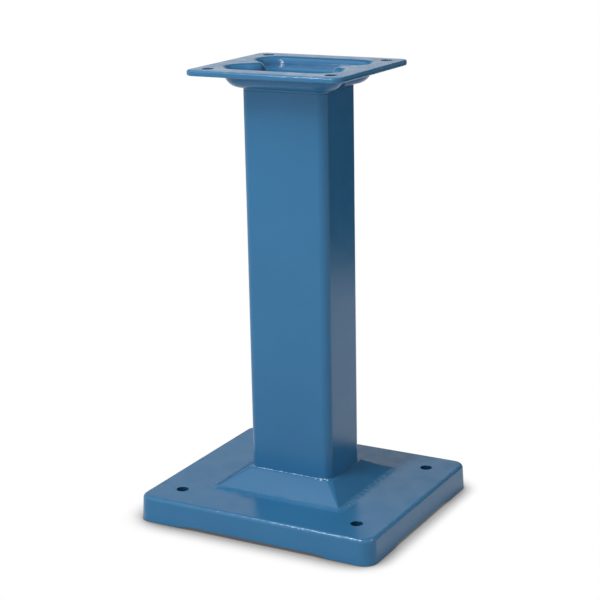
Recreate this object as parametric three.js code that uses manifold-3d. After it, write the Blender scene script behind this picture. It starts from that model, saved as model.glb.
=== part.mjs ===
// Floor stand for a bench grinder: a hollow cast base with a pyramid hub, a hollow rectangular column and a
// cast head with a flared mouth, bolted together from below and screwed together from above.
// Millimetres, +Z up, the origin on the floor under the middle of the stand.
import * as THREE from 'three';
import { mergeVertices } from 'three/addons/utils/BufferGeometryUtils.js';
import Module from 'manifold-3d';

const wasm = await Module();
wasm.setup();

// Base: a plate with a drafted skirt, open underneath
const baseLength = 445;
const baseWidth = 391;
const baseHeight = 43.8;
const baseCornerRadius = 24;
const baseEdgeRadius = 6;
const baseDraft = 2.5;
const baseWall = 9;

// Foot pads: the skirt is relieved between its four corners
const padLength = 72;
const padBlend = 34;
const padRelief = 4.2;

// Anchor holes for floor bolts, each through a boss that reaches the floor
const anchorInsetX = 55.5;
const anchorInsetY = 59;
const anchorHole = 20.5;
const anchorMouth = 0.6;
const anchorBoss = 42;

// Ribs under the plate
const ribThickness = 8;
const ribDepth = 22;

// Pyramid hub and the socket for the column's foot
const hubRise = 29.2;
const hubRunX = 41;
const hubRunY = 46;
const hubLip = 3;
const hubLipRadius = 4;
const hubCornerRadius = 16;
const hubFootCornerRadius = 6;
const hubFootRadius = 10;
const socketDepth = 8;
const socketClearance = 0.3;
const webThickness = 12;
const coreHole = 60;

// Column: a rectangular tube with a lug in each corner at both ends
const columnLength = 153.5;
const columnWidth = 114;
const columnHeight = 658.6;
const columnRadius = 14;
const columnWall = 7;
const lugWall = 6;
const footLugHeight = 45;
const topLugHeight = 40;

// Head: a flange on a flared mouth, with a spigot that locates it in the column
const headHeight = 38;
const headWall = 5.5;
const flangeOverhangX = 63.5;
const flangeOverhangY = 70;
const flangeThickness = 9.5;
const flangeCornerRadius = 15.5;
const flangeEdgeRadius = 3;
const mountInsetX = 29;
const mountInsetY = 28.5;
const mountHole = 19.5;
const mountMouth = 0.6;
const neckFillet = 4.5;
const mouthOverhangX = 34;
const mouthOverhangY = 35;
const lobeRadius = 42;
const tongueRadius = 11.5;
const mouthRadius = 12;
const throatRadius = 4;
const spigotDepth = 30;
const spigotWall = 6;
const spigotClearance = 0.3;
const headLugHeight = 12;

// Hexagon bolts under the base, with a flat and a spring washer each
const boltDiameter = 12;
const boltLength = 45;
const boltHeadAcross = 19;
const boltHeadHeight = 7.5;
const boltFlatOuter = 24;
const boltFlatThickness = 2.5;
const boltSpringOuter = 21;
const boltSpringThickness = 3;

// Socket screws inside the head, with a flat and a spring washer each
const screwDiameter = 10;
const screwLength = 35;
const screwHeadDiameter = 16;
const screwHeadHeight = 10;
const screwSocketAcross = 8;
const screwSocketDepth = 5;
const screwFlatOuter = 20;
const screwFlatThickness = 2;
const screwSpringOuter = 17.6;
const screwSpringThickness = 2.5;
const washerRoom = 2;

// Fits: a shank in its bore and in a through hole, a spring washer's split, and bearing faces that meet
const boreClearance = 0.3;
const throughClearance = 0.5;
const springSplit = 2;
const seatGap = 0.2;

// A cut runs this far past the face that it opens
const overrun = 1;

// Facets
const cornerSteps = 5;
const edgeSteps = 3;
const holeEdgeSteps = 2;
const roundSegments = 16;
const holeSegments = 20;
const hexSides = 6;
const frontSteps = 3;
const lobeSteps = 6;
const tongueSteps = 3;
const bowlSteps = 4;
const blendSteps = 6;

// Heights and places that follow from the sizes above
const plateUnderside = baseHeight - baseWall;
const hubTop = baseHeight + hubRise;
const hubSlope = Math.atan2(2 * hubRise, hubRunX + hubRunY);
const hubTopOffset = socketClearance + hubLip;
const socketFloor = hubTop - socketDepth;
const webUnderside = socketFloor - webThickness;
const anchorX = baseLength / 2 - anchorInsetX;
const anchorY = baseWidth / 2 - anchorInsetY;
const columnFoot = socketFloor + seatGap;
const columnTop = columnFoot + columnHeight;
const boreLength = columnLength - 2 * columnWall;
const boreWidth = columnWidth - 2 * columnWall;
const boreRadius = Math.max(columnRadius - columnWall, 1);
const spigotLength = boreLength - 2 * spigotClearance;
const spigotWidth = boreWidth - 2 * spigotClearance;
const spigotRadius = Math.max(boreRadius - spigotClearance, 1);
const headBoreInset = columnWall + spigotClearance + spigotWall;
const lugInset = spigotClearance + spigotWall + screwFlatOuter / 2 + washerRoom;
const lugRadius = boltDiameter / 2 + lugWall;
const lugX = boreLength / 2 - lugInset;
const lugY = boreWidth / 2 - lugInset;
const headSeat = columnTop + seatGap;
const topLugTop = columnHeight - spigotDepth;
const flangeLength = columnLength + 2 * flangeOverhangX;
const flangeWidth = columnWidth + 2 * flangeOverhangY;
const flangeUnderside = headHeight - flangeThickness;
const mountX = flangeLength / 2 - mountInsetX;
const mountY = flangeWidth / 2 - mountInsetY;

const corners = [[1, -1], [1, 1], [-1, 1], [-1, -1]];

function castPaint() {
  return new THREE.MeshStandardMaterial({ color: 0x3d74a4, roughness: 0.38, metalness: 0 });
}

function zincSteel() {
  return new THREE.MeshStandardMaterial({ color: 0xb4b7ba, roughness: 0.36, metalness: 1 });
}

function blackSteel() {
  return new THREE.MeshStandardMaterial({ color: 0x2c2d2f, roughness: 0.45, metalness: 0.8 });
}

// A closed geometry as a solid that can be joined and cut
function solid(geometry) {
  const bare = new THREE.BufferGeometry();
  bare.setAttribute('position', geometry.getAttribute('position'));
  bare.setIndex(geometry.getIndex());
  const welded = mergeVertices(bare);
  const vertProperties = new Float32Array(welded.getAttribute('position').array);
  const triVerts = new Uint32Array(welded.getIndex().array);
  return new wasm.Manifold(new wasm.Mesh({ numProp: 3, vertProperties, triVerts }));
}

function piece(name, body, material) {
  const { vertProperties, triVerts } = body.getMesh();
  const geometry = new THREE.BufferGeometry();
  geometry.setAttribute('position', new THREE.BufferAttribute(vertProperties, 3));
  geometry.setIndex(new THREE.BufferAttribute(triVerts, 1));
  geometry.computeVertexNormals();
  const mesh = new THREE.Mesh(geometry, material);
  mesh.name = name;
  return mesh;
}

// A skin over a stack of outlines that all have the same number of points, closed at both ends
function loft(rings) {
  const count = rings[0].outline.length;
  const positions = rings.flatMap(({ outline, z }) => outline.flatMap((point) => [point.x, point.y, z]));
  const index = [];
  for (let level = 0; level + 1 < rings.length; level += 1) {
    const low = level * count;
    const high = low + count;
    for (let step = 0; step < count; step += 1) {
      const next = (step + 1) % count;
      index.push(low + step, low + next, high + next);
      index.push(low + step, high + next, high + step);
    }
  }
  const last = (rings.length - 1) * count;
  const foot = THREE.ShapeUtils.triangulateShape(rings[0].outline, []);
  const lid = THREE.ShapeUtils.triangulateShape(rings.at(-1).outline, []);
  foot.forEach(([a, b, c]) => index.push(c, b, a));
  lid.forEach(([a, b, c]) => index.push(last + a, last + b, last + c));
  const geometry = new THREE.BufferGeometry();
  geometry.setAttribute('position', new THREE.Float32BufferAttribute(positions, 3));
  geometry.setIndex(index);
  return solid(geometry);
}

function prism(outline, bottom, top) {
  return loft([{ outline, z: bottom }, { outline, z: top }]);
}

function block(x0, x1, y0, y1, z0, z1) {
  const geometry = new THREE.BoxGeometry(x1 - x0, y1 - y0, z1 - z0);
  return solid(geometry.translate((x0 + x1) / 2, (y0 + y1) / 2, (z0 + z1) / 2));
}

function cylinder(diameter, bottom, top, x = 0, y = 0, segments = roundSegments) {
  const geometry = new THREE.CylinderGeometry(diameter / 2, diameter / 2, top - bottom, segments);
  return solid(geometry.rotateX(Math.PI / 2).translate(x, y, (bottom + top) / 2));
}

// A full outline from its quarter, which runs from the front middle to the right middle
function mirrored(quarter) {
  const right = [...quarter];
  for (const point of quarter.slice(0, -1).reverse()) right.push(new THREE.Vector2(point.x, -point.y));
  const left = right.slice(1, -1).reverse();
  return [...right, ...left.map((point) => new THREE.Vector2(-point.x, point.y))];
}

function arcPoints(centre, radius, from, to, steps, clockwise = false) {
  return new THREE.EllipseCurve(centre.x, centre.y, radius, radius, from, to, clockwise).getPoints(steps);
}

// A rectangle with round corners, its steps counted along the front, the corner and the side
function rectangle(length, width, radius, front = 1, corner = cornerSteps, side = 0) {
  const centre = new THREE.Vector2(length / 2 - radius, radius - width / 2);
  const quarter = [];
  for (let step = 0; step < front; step += 1) {
    quarter.push(new THREE.Vector2((centre.x * step) / front, -width / 2));
  }
  quarter.push(...arcPoints(centre, radius, -Math.PI / 2, 0, corner));
  for (let step = 0; step <= side; step += 1) {
    quarter.push(new THREE.Vector2(length / 2, (centre.y * (side - step)) / (side + 1)));
  }
  return mirrored(quarter);
}

// Quarter round as pairs of inset and rise, from the vertical face to the flat one
function quarterRound(radius, steps) {
  return Array.from({ length: steps + 1 }, (_, step) => {
    const angle = (Math.PI / 2) * (step / steps);
    return { inset: radius * (1 - Math.cos(angle)), rise: radius * Math.sin(angle) };
  });
}

// A vertical hole with a rounded mouth at its upper face
function mouthedHole(diameter, mouth, bottom, face, x, y) {
  const radius = diameter / 2;
  const profile = [new THREE.Vector2(0, bottom), new THREE.Vector2(radius, bottom)];
  for (const { inset, rise } of quarterRound(mouth, holeEdgeSteps)) {
    profile.push(new THREE.Vector2(radius + inset, face - mouth + rise));
  }
  profile.push(new THREE.Vector2(radius + mouth, face + overrun), new THREE.Vector2(0, face + overrun));
  const geometry = new THREE.LatheGeometry(profile, holeSegments);
  return solid(geometry.rotateX(Math.PI / 2).translate(x, y, 0));
}

// A lug's plan: it fills the tube's corner and is round about its bore on the inner side
function lugShape(signX, signY) {
  const reach = lugInset + columnWall;
  const points = [
    new THREE.Vector2(lugX + reach, lugY - lugRadius),
    new THREE.Vector2(lugX + reach, lugY + reach),
    new THREE.Vector2(lugX - lugRadius, lugY + reach),
    ...arcPoints(new THREE.Vector2(lugX, lugY), lugRadius, Math.PI, 1.5 * Math.PI, cornerSteps),
  ];
  return new THREE.Shape(points.map((point) => new THREE.Vector2(point.x * signX, point.y * signY)));
}

// Four bored corner lugs between two heights, trimmed to the outline that they stand in
function cornerLugs(outline, bottom, top, bore) {
  const settings = { depth: top - bottom, bevelEnabled: false };
  const lugs = corners.map(([signX, signY]) => {
    const geometry = new THREE.ExtrudeGeometry(lugShape(signX, signY), settings);
    return solid(geometry.translate(0, 0, bottom));
  });
  const trimmed = lugs.reduce((sum, lug) => sum.add(lug)).intersect(prism(outline, bottom, top));
  return lugBores(trimmed, bore, bottom, top);
}

// Bores on the four lug centres, right through a body between two heights
function lugBores(body, diameter, bottom, top) {
  return corners.reduce((cut, [signX, signY]) => (
    cut.subtract(cylinder(diameter, bottom - overrun, top + overrun, signX * lugX, signY * lugY))
  ), body);
}

function baseOutline(inset) {
  return rectangle(baseLength - 2 * inset, baseWidth - 2 * inset, Math.max(baseCornerRadius - inset, 1));
}

// The plate and its skirt, with a rounded upper edge and the hollow underneath
function baseBody() {
  const edgeStart = baseHeight - baseEdgeRadius;
  const draftAt = (z) => (baseDraft * z) / baseHeight;
  const rings = [{ outline: baseOutline(0), z: 0 }];
  for (const { inset, rise } of quarterRound(baseEdgeRadius, edgeSteps)) {
    rings.push({ outline: baseOutline(draftAt(edgeStart + rise) + inset), z: edgeStart + rise });
  }
  const hollow = loft([
    { outline: baseOutline(baseWall + draftAt(-overrun)), z: -overrun },
    { outline: baseOutline(baseWall + draftAt(plateUnderside)), z: plateUnderside },
  ]);
  return loft(rings).subtract(hollow);
}

// The hub's outline at a share of the way from its lip, which is 0, to its foot, which is 1. Its corners
// are tighter at the foot, so that the ridges stay crisp
function hubOutline(share) {
  const length = columnLength + 2 * (hubTopOffset + hubRunX * share);
  const width = columnWidth + 2 * (hubTopOffset + hubRunY * share);
  const radius = hubCornerRadius + (hubFootCornerRadius - hubCornerRadius) * share;
  return rectangle(length, width, radius);
}

function hubShareAt(z) {
  return (hubTop - z) / hubRise;
}

// The pyramid, with a fillet round its foot and a rounded lip round the column
function hubBody() {
  const run = (hubRunX + hubRunY) / 2;
  const footTangent = hubFootRadius * Math.tan(hubSlope / 2);
  const lipTangent = hubLipRadius * Math.tan(hubSlope / 2);
  const ringAt = (share, z) => ({ outline: hubOutline(share), z });
  const rings = [ringAt(1 + footTangent / run, plateUnderside)];
  for (let step = 0; step <= edgeSteps; step += 1) {
    const angle = (hubSlope * step) / edgeSteps;
    const outward = footTangent - hubFootRadius * Math.sin(angle);
    rings.push(ringAt(1 + outward / run, baseHeight + hubFootRadius * (1 - Math.cos(angle))));
  }
  const lipStart = hubTop - lipTangent * Math.sin(hubSlope);
  rings.push(ringAt(hubShareAt(lipStart), lipStart));
  rings.push(ringAt(-lipTangent / run, hubTop));
  return loft(rings);
}

function hubHollow() {
  const wallShare = baseWall / Math.cos(hubSlope) / hubRise;
  const ringAt = (z) => ({ outline: hubOutline(hubShareAt(z) - wallShare), z });
  return loft([ringAt(plateUnderside - overrun), ringAt(webUnderside)]);
}

// Ribs along the middle of each side, from the hub's hollow to the skirt
function addRibs(body) {
  const top = plateUnderside + baseWall / 2;
  const bottom = plateUnderside - ribDepth;
  const half = ribThickness / 2;
  const inner = hubTopOffset - baseWall;
  const innerX = columnLength / 2 + hubRunX + inner;
  const innerY = columnWidth / 2 + hubRunY + inner;
  const outerX = baseLength / 2 - baseDraft - baseWall / 2;
  const outerY = baseWidth / 2 - baseDraft - baseWall / 2;
  return body
    .add(block(innerX, outerX, -half, half, bottom, top))
    .add(block(-outerX, -innerX, -half, half, bottom, top))
    .add(block(-half, half, innerY, outerY, bottom, top))
    .add(block(-half, half, -outerY, -innerY, bottom, top));
}

function addAnchors(body) {
  const bossTop = plateUnderside + baseWall / 2;
  const bossed = corners.reduce((sum, [signX, signY]) => (
    sum.add(cylinder(anchorBoss, 0, bossTop, signX * anchorX, signY * anchorY, holeSegments))
  ), body);
  return corners.reduce((cut, [signX, signY]) => {
    const place = [signX * anchorX, signY * anchorY];
    return cut.subtract(mouthedHole(anchorHole, anchorMouth, -overrun, baseHeight, ...place));
  }, bossed);
}

function cutSocket(body) {
  const length = columnLength + 2 * socketClearance;
  const width = columnWidth + 2 * socketClearance;
  const outline = rectangle(length, width, columnRadius + socketClearance);
  const socket = prism(outline, socketFloor, hubTop + overrun);
  const core = cylinder(coreHole, webUnderside - overrun, socketFloor + overrun, 0, 0, holeSegments);
  const throughHole = boltDiameter + 2 * throughClearance;
  return lugBores(body.subtract(socket).subtract(core), throughHole, webUnderside, socketFloor);
}

// The space under a relieved side, as a long low shape with a soft step at each end
function reliefShape(sideLength) {
  const padEnd = sideLength / 2 - padLength;
  const flatEnd = padEnd - padBlend;
  const middle = (padEnd + flatEnd) / 2;
  const shape = new THREE.Shape();
  shape.moveTo(-padEnd, -overrun);
  shape.lineTo(padEnd, -overrun);
  shape.lineTo(padEnd, 0);
  shape.bezierCurveTo(middle, 0, middle, padRelief, flatEnd, padRelief);
  shape.lineTo(-flatEnd, padRelief);
  shape.bezierCurveTo(-middle, padRelief, -middle, 0, -padEnd, 0);
  return shape;
}

// One side's relief through the skirt, turned from the back side to the side that it belongs to
function reliefCut(sideLength, distance, turn) {
  const settings = { depth: baseWall + 2 * overrun, bevelEnabled: false, curveSegments: blendSteps };
  const geometry = new THREE.ExtrudeGeometry(reliefShape(sideLength), settings);
  return solid(geometry.rotateX(Math.PI / 2).translate(0, distance + overrun, 0).rotateZ(turn));
}

function cutReliefs(body) {
  return body
    .subtract(reliefCut(baseLength, baseWidth / 2, 0))
    .subtract(reliefCut(baseLength, baseWidth / 2, Math.PI))
    .subtract(reliefCut(baseWidth, baseLength / 2, Math.PI / 2))
    .subtract(reliefCut(baseWidth, baseLength / 2, -Math.PI / 2));
}

function baseCasting() {
  const shell = baseBody().add(hubBody()).subtract(hubHollow());
  return cutReliefs(cutSocket(addAnchors(addRibs(shell))));
}

function column() {
  const outer = rectangle(columnLength, columnWidth, columnRadius);
  const bore = rectangle(boreLength, boreWidth, boreRadius);
  const inWall = rectangle(boreLength + columnWall, boreWidth + columnWall, boreRadius + columnWall / 2);
  const tube = prism(outer, 0, columnHeight).subtract(prism(bore, -overrun, columnHeight + overrun));
  const footLugs = cornerLugs(inWall, 0, footLugHeight, boltDiameter + 2 * boreClearance);
  const topLugs = cornerLugs(inWall, topLugTop - topLugHeight, topLugTop, screwDiameter + 2 * boreClearance);
  return tube.add(footLugs).add(topLugs);
}

// The mouth's outline at an offset from its edge: a rectangle with round lobes at its corners,
// where a tongue reaches in from the middle of each short side as far as the column's face
function lobed(offset, tongueShift = 0) {
  const halfWidth = columnWidth / 2 + mouthOverhangY;
  const lobe = new THREE.Vector2(columnLength / 2 + mouthOverhangX - lobeRadius, lobeRadius - halfWidth);
  const tongue = new THREE.Vector2(columnLength / 2 + tongueRadius + tongueShift, 0);
  const across = tongue.clone().sub(lobe);
  const flank = across.angle() + Math.asin((lobeRadius + tongueRadius) / across.length());
  const lobeEnd = flank - Math.PI / 2;
  const tongueStart = flank + Math.PI / 2;
  const quarter = [];
  for (let step = 0; step < frontSteps; step += 1) {
    quarter.push(new THREE.Vector2((lobe.x * step) / frontSteps, -halfWidth - offset));
  }
  quarter.push(...arcPoints(lobe, lobeRadius + offset, -Math.PI / 2, lobeEnd, lobeSteps));
  quarter.push(...arcPoints(tongue, tongueRadius - offset, tongueStart, Math.PI, tongueSteps, true));
  return mirrored(quarter);
}

// The neck's outline, stepped like the lobed one so that the two can be lofted
function neckOutline(inset, radius) {
  const length = columnLength - 2 * inset;
  const width = columnWidth - 2 * inset;
  return rectangle(length, width, radius, frontSteps, lobeSteps, tongueSteps);
}

function between(start, end, share) {
  return start.map((point, step) => point.clone().lerp(end[step], share));
}

// A bowl's wall as shares of its reach and its rise, from its level floor to its upright rim
function bowl(steps) {
  return Array.from({ length: steps + 1 }, (_, step) => {
    const angle = (Math.PI / 2) * (step / steps);
    return { reach: Math.sin(angle), rise: 1 - Math.cos(angle) };
  });
}

// Outside of the mouth: up from the column, out through a small fillet and round like a bowl to the flange,
// and level with the column's face where the tongues are
function mouthOutside() {
  const neck = neckOutline(0, columnRadius);
  const inset = mouthRadius - headWall;
  const rim = lobed(-inset, inset);
  const filletShare = neckFillet / (mouthOverhangY - inset);
  const rings = quarterRound(1, edgeSteps).map((turn) => ({
    outline: between(neck, rim, filletShare * turn.inset),
    z: neckFillet * turn.rise,
  }));
  for (const { reach, rise } of bowl(bowlSteps).slice(1)) {
    const outline = between(neck, rim, filletShare + (1 - filletShare) * reach);
    rings.push({ outline, z: neckFillet + (flangeUnderside - neckFillet) * rise });
  }
  rings.push({ outline: rim, z: flangeUnderside + flangeThickness / 2 });
  return loft(rings);
}

// Inside of the head: the spigot's bore, a rounded ledge, the bowl and the rounded mouth
function mouthInside() {
  const bore = neckOutline(headBoreInset, boreRadius);
  const throat = lobed(-mouthRadius);
  const bowlFloor = neckFillet + headWall;
  const bowlTop = headHeight - mouthRadius;
  const ledgeShare = throatRadius / (headBoreInset + mouthOverhangY - mouthRadius);
  const rings = [{ outline: bore, z: -spigotDepth - overrun }];
  for (const { inset, rise } of quarterRound(1, holeEdgeSteps)) {
    const z = bowlFloor + throatRadius * (rise - 1);
    rings.push({ outline: between(bore, throat, ledgeShare * inset), z });
  }
  for (const { reach, rise } of bowl(bowlSteps).slice(1)) {
    const outline = between(bore, throat, ledgeShare + (1 - ledgeShare) * reach);
    rings.push({ outline, z: bowlFloor + (bowlTop - bowlFloor) * rise });
  }
  for (const { inset, rise } of quarterRound(mouthRadius, edgeSteps).slice(1)) {
    rings.push({ outline: lobed(inset - mouthRadius), z: bowlTop + rise });
  }
  rings.push({ outline: lobed(0), z: headHeight + overrun });
  return loft(rings);
}

function flange() {
  const ringAt = (inset, z) => {
    const outline = rectangle(flangeLength - 2 * inset, flangeWidth - 2 * inset, flangeCornerRadius - inset);
    return { outline, z };
  };
  const edge = quarterRound(flangeEdgeRadius, edgeSteps);
  const lower = edge.map(({ inset, rise }) => ringAt(inset, flangeUnderside + flangeEdgeRadius - rise));
  const upper = edge.map(({ inset, rise }) => ringAt(inset, headHeight - flangeEdgeRadius + rise));
  return loft([...lower.reverse(), ...upper]);
}

// The spigot's lugs, on the same centres as the column's
function spigotLugs() {
  const length = spigotLength - spigotWall;
  const width = spigotWidth - spigotWall;
  const outline = rectangle(length, width, spigotRadius);
  const bore = screwDiameter + 2 * throughClearance;
  return cornerLugs(outline, -spigotDepth, headLugHeight - spigotDepth, bore);
}

function headCasting() {
  const spigot = prism(rectangle(spigotLength, spigotWidth, spigotRadius), -spigotDepth, neckFillet);
  const shell = flange().add(mouthOutside()).add(spigot).subtract(mouthInside()).add(spigotLugs());
  const bottom = flangeUnderside - overrun;
  return corners.reduce((cut, [signX, signY]) => (
    cut.subtract(mouthedHole(mountHole, mountMouth, bottom, headHeight, signX * mountX, signY * mountY))
  ), shell);
}

// A hexagon bolt on its bearing face, with the shank pointing up
function hexBolt() {
  const acrossCorners = (2 * boltHeadAcross) / Math.sqrt(3);
  const head = cylinder(acrossCorners, -boltHeadHeight, 0, 0, 0, hexSides);
  return head.add(cylinder(boltDiameter, -boltHeadHeight / 2, boltLength));
}

// A socket screw on its bearing face, with the shank pointing down
function socketScrew() {
  const acrossCorners = (2 * screwSocketAcross) / Math.sqrt(3);
  const socketBottom = screwHeadHeight - screwSocketDepth;
  const socket = cylinder(acrossCorners, socketBottom, screwHeadHeight + overrun, 0, 0, hexSides);
  const head = cylinder(screwHeadDiameter, 0, screwHeadHeight).subtract(socket);
  return head.add(cylinder(screwDiameter, -screwLength, socketBottom / 2));
}

function flatWasher(hole, outer, thickness) {
  return cylinder(outer, 0, thickness).subtract(cylinder(hole, -overrun, thickness + overrun));
}

// A split spring washer, closed flat as it is when tightened
function springWasher(hole, outer, thickness) {
  const split = block(0, outer, -springSplit / 2, springSplit / 2, -overrun, thickness + overrun);
  return flatWasher(hole, outer, thickness).subtract(split);
}

function place(mesh, x, y, z) {
  mesh.position.set(x, y, z);
  return mesh;
}

// One group of a fastener and its two washers on a lug centre
function fixing(names, bodies, heights, material, [signX, signY]) {
  const group = new THREE.Group();
  names.forEach((name, index) => {
    const mesh = piece(name, bodies[index], material());
    group.add(place(mesh, 0, 0, heights[index]));
  });
  return place(group, signX * lugX, signY * lugY, 0);
}

function fixingNames(end, fastener, number) {
  return [fastener, 'spring_washer', 'flat_washer'].map((kind) => `${end}_${kind}_${number}`);
}

// Bolts up through the web into the column's foot lugs
function baseFixings() {
  const hole = boltDiameter + 2 * boreClearance;
  const flatBottom = webUnderside - seatGap - boltFlatThickness;
  const springBottom = flatBottom - seatGap - boltSpringThickness;
  const heights = [springBottom - seatGap, springBottom, flatBottom];
  return corners.map((corner, index) => {
    const spring = springWasher(hole, boltSpringOuter, boltSpringThickness);
    const bodies = [hexBolt(), spring, flatWasher(hole, boltFlatOuter, boltFlatThickness)];
    return fixing(fixingNames('base', 'bolt', index + 1), bodies, heights, zincSteel, corner);
  });
}

// Socket screws down through the spigot's lugs into the column's top lugs
function headFixings() {
  const hole = screwDiameter + 2 * boreClearance;
  const flatBottom = headSeat - spigotDepth + headLugHeight + seatGap;
  const springBottom = flatBottom + screwFlatThickness + seatGap;
  const heights = [springBottom + screwSpringThickness + seatGap, springBottom, flatBottom];
  return corners.map((corner, index) => {
    const spring = springWasher(hole, screwSpringOuter, screwSpringThickness);
    const bodies = [socketScrew(), spring, flatWasher(hole, screwFlatOuter, screwFlatThickness)];
    return fixing(fixingNames('head', 'screw', index + 1), bodies, heights, blackSteel, corner);
  });
}

const stand = new THREE.Group();
stand.add(piece('base_casting', baseCasting(), castPaint()));
stand.add(place(piece('column', column(), castPaint()), 0, 0, columnFoot));
stand.add(place(piece('head_casting', headCasting(), castPaint()), 0, 0, headSeat));
stand.add(...baseFixings());
stand.add(...headFixings());

export default stand;
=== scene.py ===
# %% [markdown]
# # A cast floor stand for a bench grinder
# The real stand is three painted iron castings: a wide base with a pyramid hub, a hollow column, and a head
# with a drilled flange round an open mouth. Bolts under the hub and screws inside the head hold them
# together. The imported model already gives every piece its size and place. It could simply be painted, but
# its curves have few faces, so this lesson builds finer skins for the same pieces, in the same frame, and
# gives them paint, steel and light.

import math

import bmesh
import bpy
from mathutils import Matrix, Vector
from mathutils.noise import noise as noise_at


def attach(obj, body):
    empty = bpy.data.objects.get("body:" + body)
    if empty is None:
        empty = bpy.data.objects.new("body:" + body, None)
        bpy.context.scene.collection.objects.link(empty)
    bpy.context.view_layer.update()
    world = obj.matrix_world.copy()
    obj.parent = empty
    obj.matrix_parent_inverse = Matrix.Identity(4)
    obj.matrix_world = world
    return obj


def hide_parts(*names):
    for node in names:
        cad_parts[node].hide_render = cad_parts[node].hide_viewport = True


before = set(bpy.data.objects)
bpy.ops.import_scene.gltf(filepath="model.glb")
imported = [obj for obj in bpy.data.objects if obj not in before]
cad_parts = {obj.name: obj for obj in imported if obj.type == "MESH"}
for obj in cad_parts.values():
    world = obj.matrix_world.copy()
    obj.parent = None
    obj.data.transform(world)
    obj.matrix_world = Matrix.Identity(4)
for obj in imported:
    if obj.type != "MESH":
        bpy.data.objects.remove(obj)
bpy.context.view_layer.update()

# %% [markdown]
# ## Loops
# A casting is mostly skin between outlines: a skirt, a hub, a bowl. Such a skin could be written as a list of
# points and faces, but that is long and easily twisted. Here a loop is an ordered list of points that closes
# on itself, and the extrude operator grows one loop out of another. The faces between them then come by
# themselves, and the order of the points is kept. A piece is built in millimetres, and its mesh is scaled to
# metres once, when it is finished.

# %% Loop helpers
def open_rim(bm, face):
    """Takes a face away and keeps its edge as a loop."""
    loop = list(face.verts)
    bmesh.ops.delete(bm, geom=[face], context="FACES_ONLY")
    return loop


def rounded_face(bm, length, width, radius, height, steps):
    """A flat rectangle with its corners bevelled round."""
    known = set(bm.faces)
    corners = bmesh.ops.create_grid(bm, x_segments=1, y_segments=1, size=0.5)["verts"]
    bmesh.ops.scale(bm, vec=(length, width, 1), verts=corners)
    bmesh.ops.translate(bm, vec=(0, 0, height), verts=corners)
    bmesh.ops.bevel(bm, geom=corners, offset=radius, offset_type="OFFSET", segments=steps, profile=0.5,
                    affect="VERTICES", material=-1)
    return next(face for face in bm.faces if face not in known)


def rounded_loop(bm, length, width, radius, height, steps=10):
    return open_rim(bm, rounded_face(bm, length, width, radius, height, steps))


def walk(edges):
    """The points of a closed chain of edges, in order."""
    left = set(edges)
    edge = next(iter(edges))
    loop = [edge.verts[0]]
    while True:
        left.discard(edge)
        vert = edge.other_vert(loop[-1])
        if vert is loop[0]:
            return loop
        loop.append(vert)
        edge = next(other for other in vert.link_edges if other in left)


def ring(bm, radius, x, y, height, segments=32):
    points = bmesh.ops.create_circle(bm, cap_ends=False, radius=radius, segments=segments)["verts"]
    bmesh.ops.translate(bm, vec=(x, y, height), verts=points)
    return walk([edge for vert in points for edge in vert.link_edges])


def loop_edges(bm, loop):
    return [bm.edges.get(pair) for pair in zip(loop, loop[1:] + loop[:1])]


def extrude_loop(bm, loop):
    """A second loop in the same order, joined to the first by a strip of faces."""
    grown = bmesh.ops.extrude_edge_only(bm, edges=loop_edges(bm, loop))["geom"]
    fresh = {item for item in grown if isinstance(item, bmesh.types.BMVert)}
    return [next(edge.other_vert(vert) for edge in vert.link_edges if edge.other_vert(vert) in fresh)
            for vert in loop]


trial = bmesh.new()
extrude_loop(trial, rounded_loop(trial, 4, 3, 1, 0))
print("a rounded loop grows a strip of", len(trial.faces), "faces")
trial.free()

# %% [markdown]
# ## Moving a loop
# Castings lean, spread and thicken, so a grown loop is seldom a plain copy of the one before it. Scaling the
# loop would scale its corner radius too. These helpers move its points instead: straight up, outwards quarter
# by quarter, or inwards by the thickness of a wall. The corners keep their radius or are drawn to another
# one. The last helper fills the flat space between an outer loop and the holes in it with triangles, because
# a single face can't have a hole.

# %% Helpers that move and fill loops
def lift(bm, loop, up):
    bmesh.ops.translate(bm, vec=(0, 0, up), verts=loop)
    return loop


def spread(bm, loop, outward_x, outward_y, up):
    """Moves each quarter of a loop away from the middle, which keeps its corners' radius."""
    for sign_x in (-1, 1):
        for sign_y in (-1, 1):
            quarter = [vert for vert in loop if vert.co.x * sign_x > 0 and vert.co.y * sign_y > 0]
            bmesh.ops.translate(bm, vec=(outward_x * sign_x, outward_y * sign_y, up), verts=quarter)
    return loop


def shrink(loop, length, width, radius, distance):
    """Offsets a rounded rectangle inwards, so that its wall keeps one thickness round the corners."""
    for vert in loop:
        beyond_x = max(abs(vert.co.x) - (length / 2 - radius), 0)
        beyond_y = max(abs(vert.co.y) - (width / 2 - radius), 0)
        away = Vector((beyond_x, beyond_y)).normalized() * distance
        vert.co.x -= math.copysign(away.x, vert.co.x)
        vert.co.y -= math.copysign(away.y, vert.co.y)
    return loop


def tighten(loop, length, width, radius, tighter):
    """Draws the corners of a rounded rectangle to a smaller radius."""
    for vert in loop:
        turn_x = (abs(vert.co.x) - (length / 2 - radius)) / radius
        turn_y = (abs(vert.co.y) - (width / 2 - radius)) / radius
        vert.co.x += math.copysign((radius - tighter) * (1 - turn_x), vert.co.x)
        vert.co.y += math.copysign((radius - tighter) * (1 - turn_y), vert.co.y)
    return loop


def flat_fill(bm, loops, up=1):
    """One flat face of triangles between an outer loop and the loops inside it."""
    edges = [edge for loop in loops for edge in loop_edges(bm, loop)]
    bmesh.ops.triangle_fill(bm, use_beauty=True, use_dissolve=False, edges=edges, normal=(0, 0, up))


trial = bmesh.new()
flat_fill(trial, [rounded_loop(trial, 4, 3, 1, 0), ring(trial, 1, 0, 0, 0)])
print("a flat face round a hole takes", len(trial.faces), "triangles")
trial.free()

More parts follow.
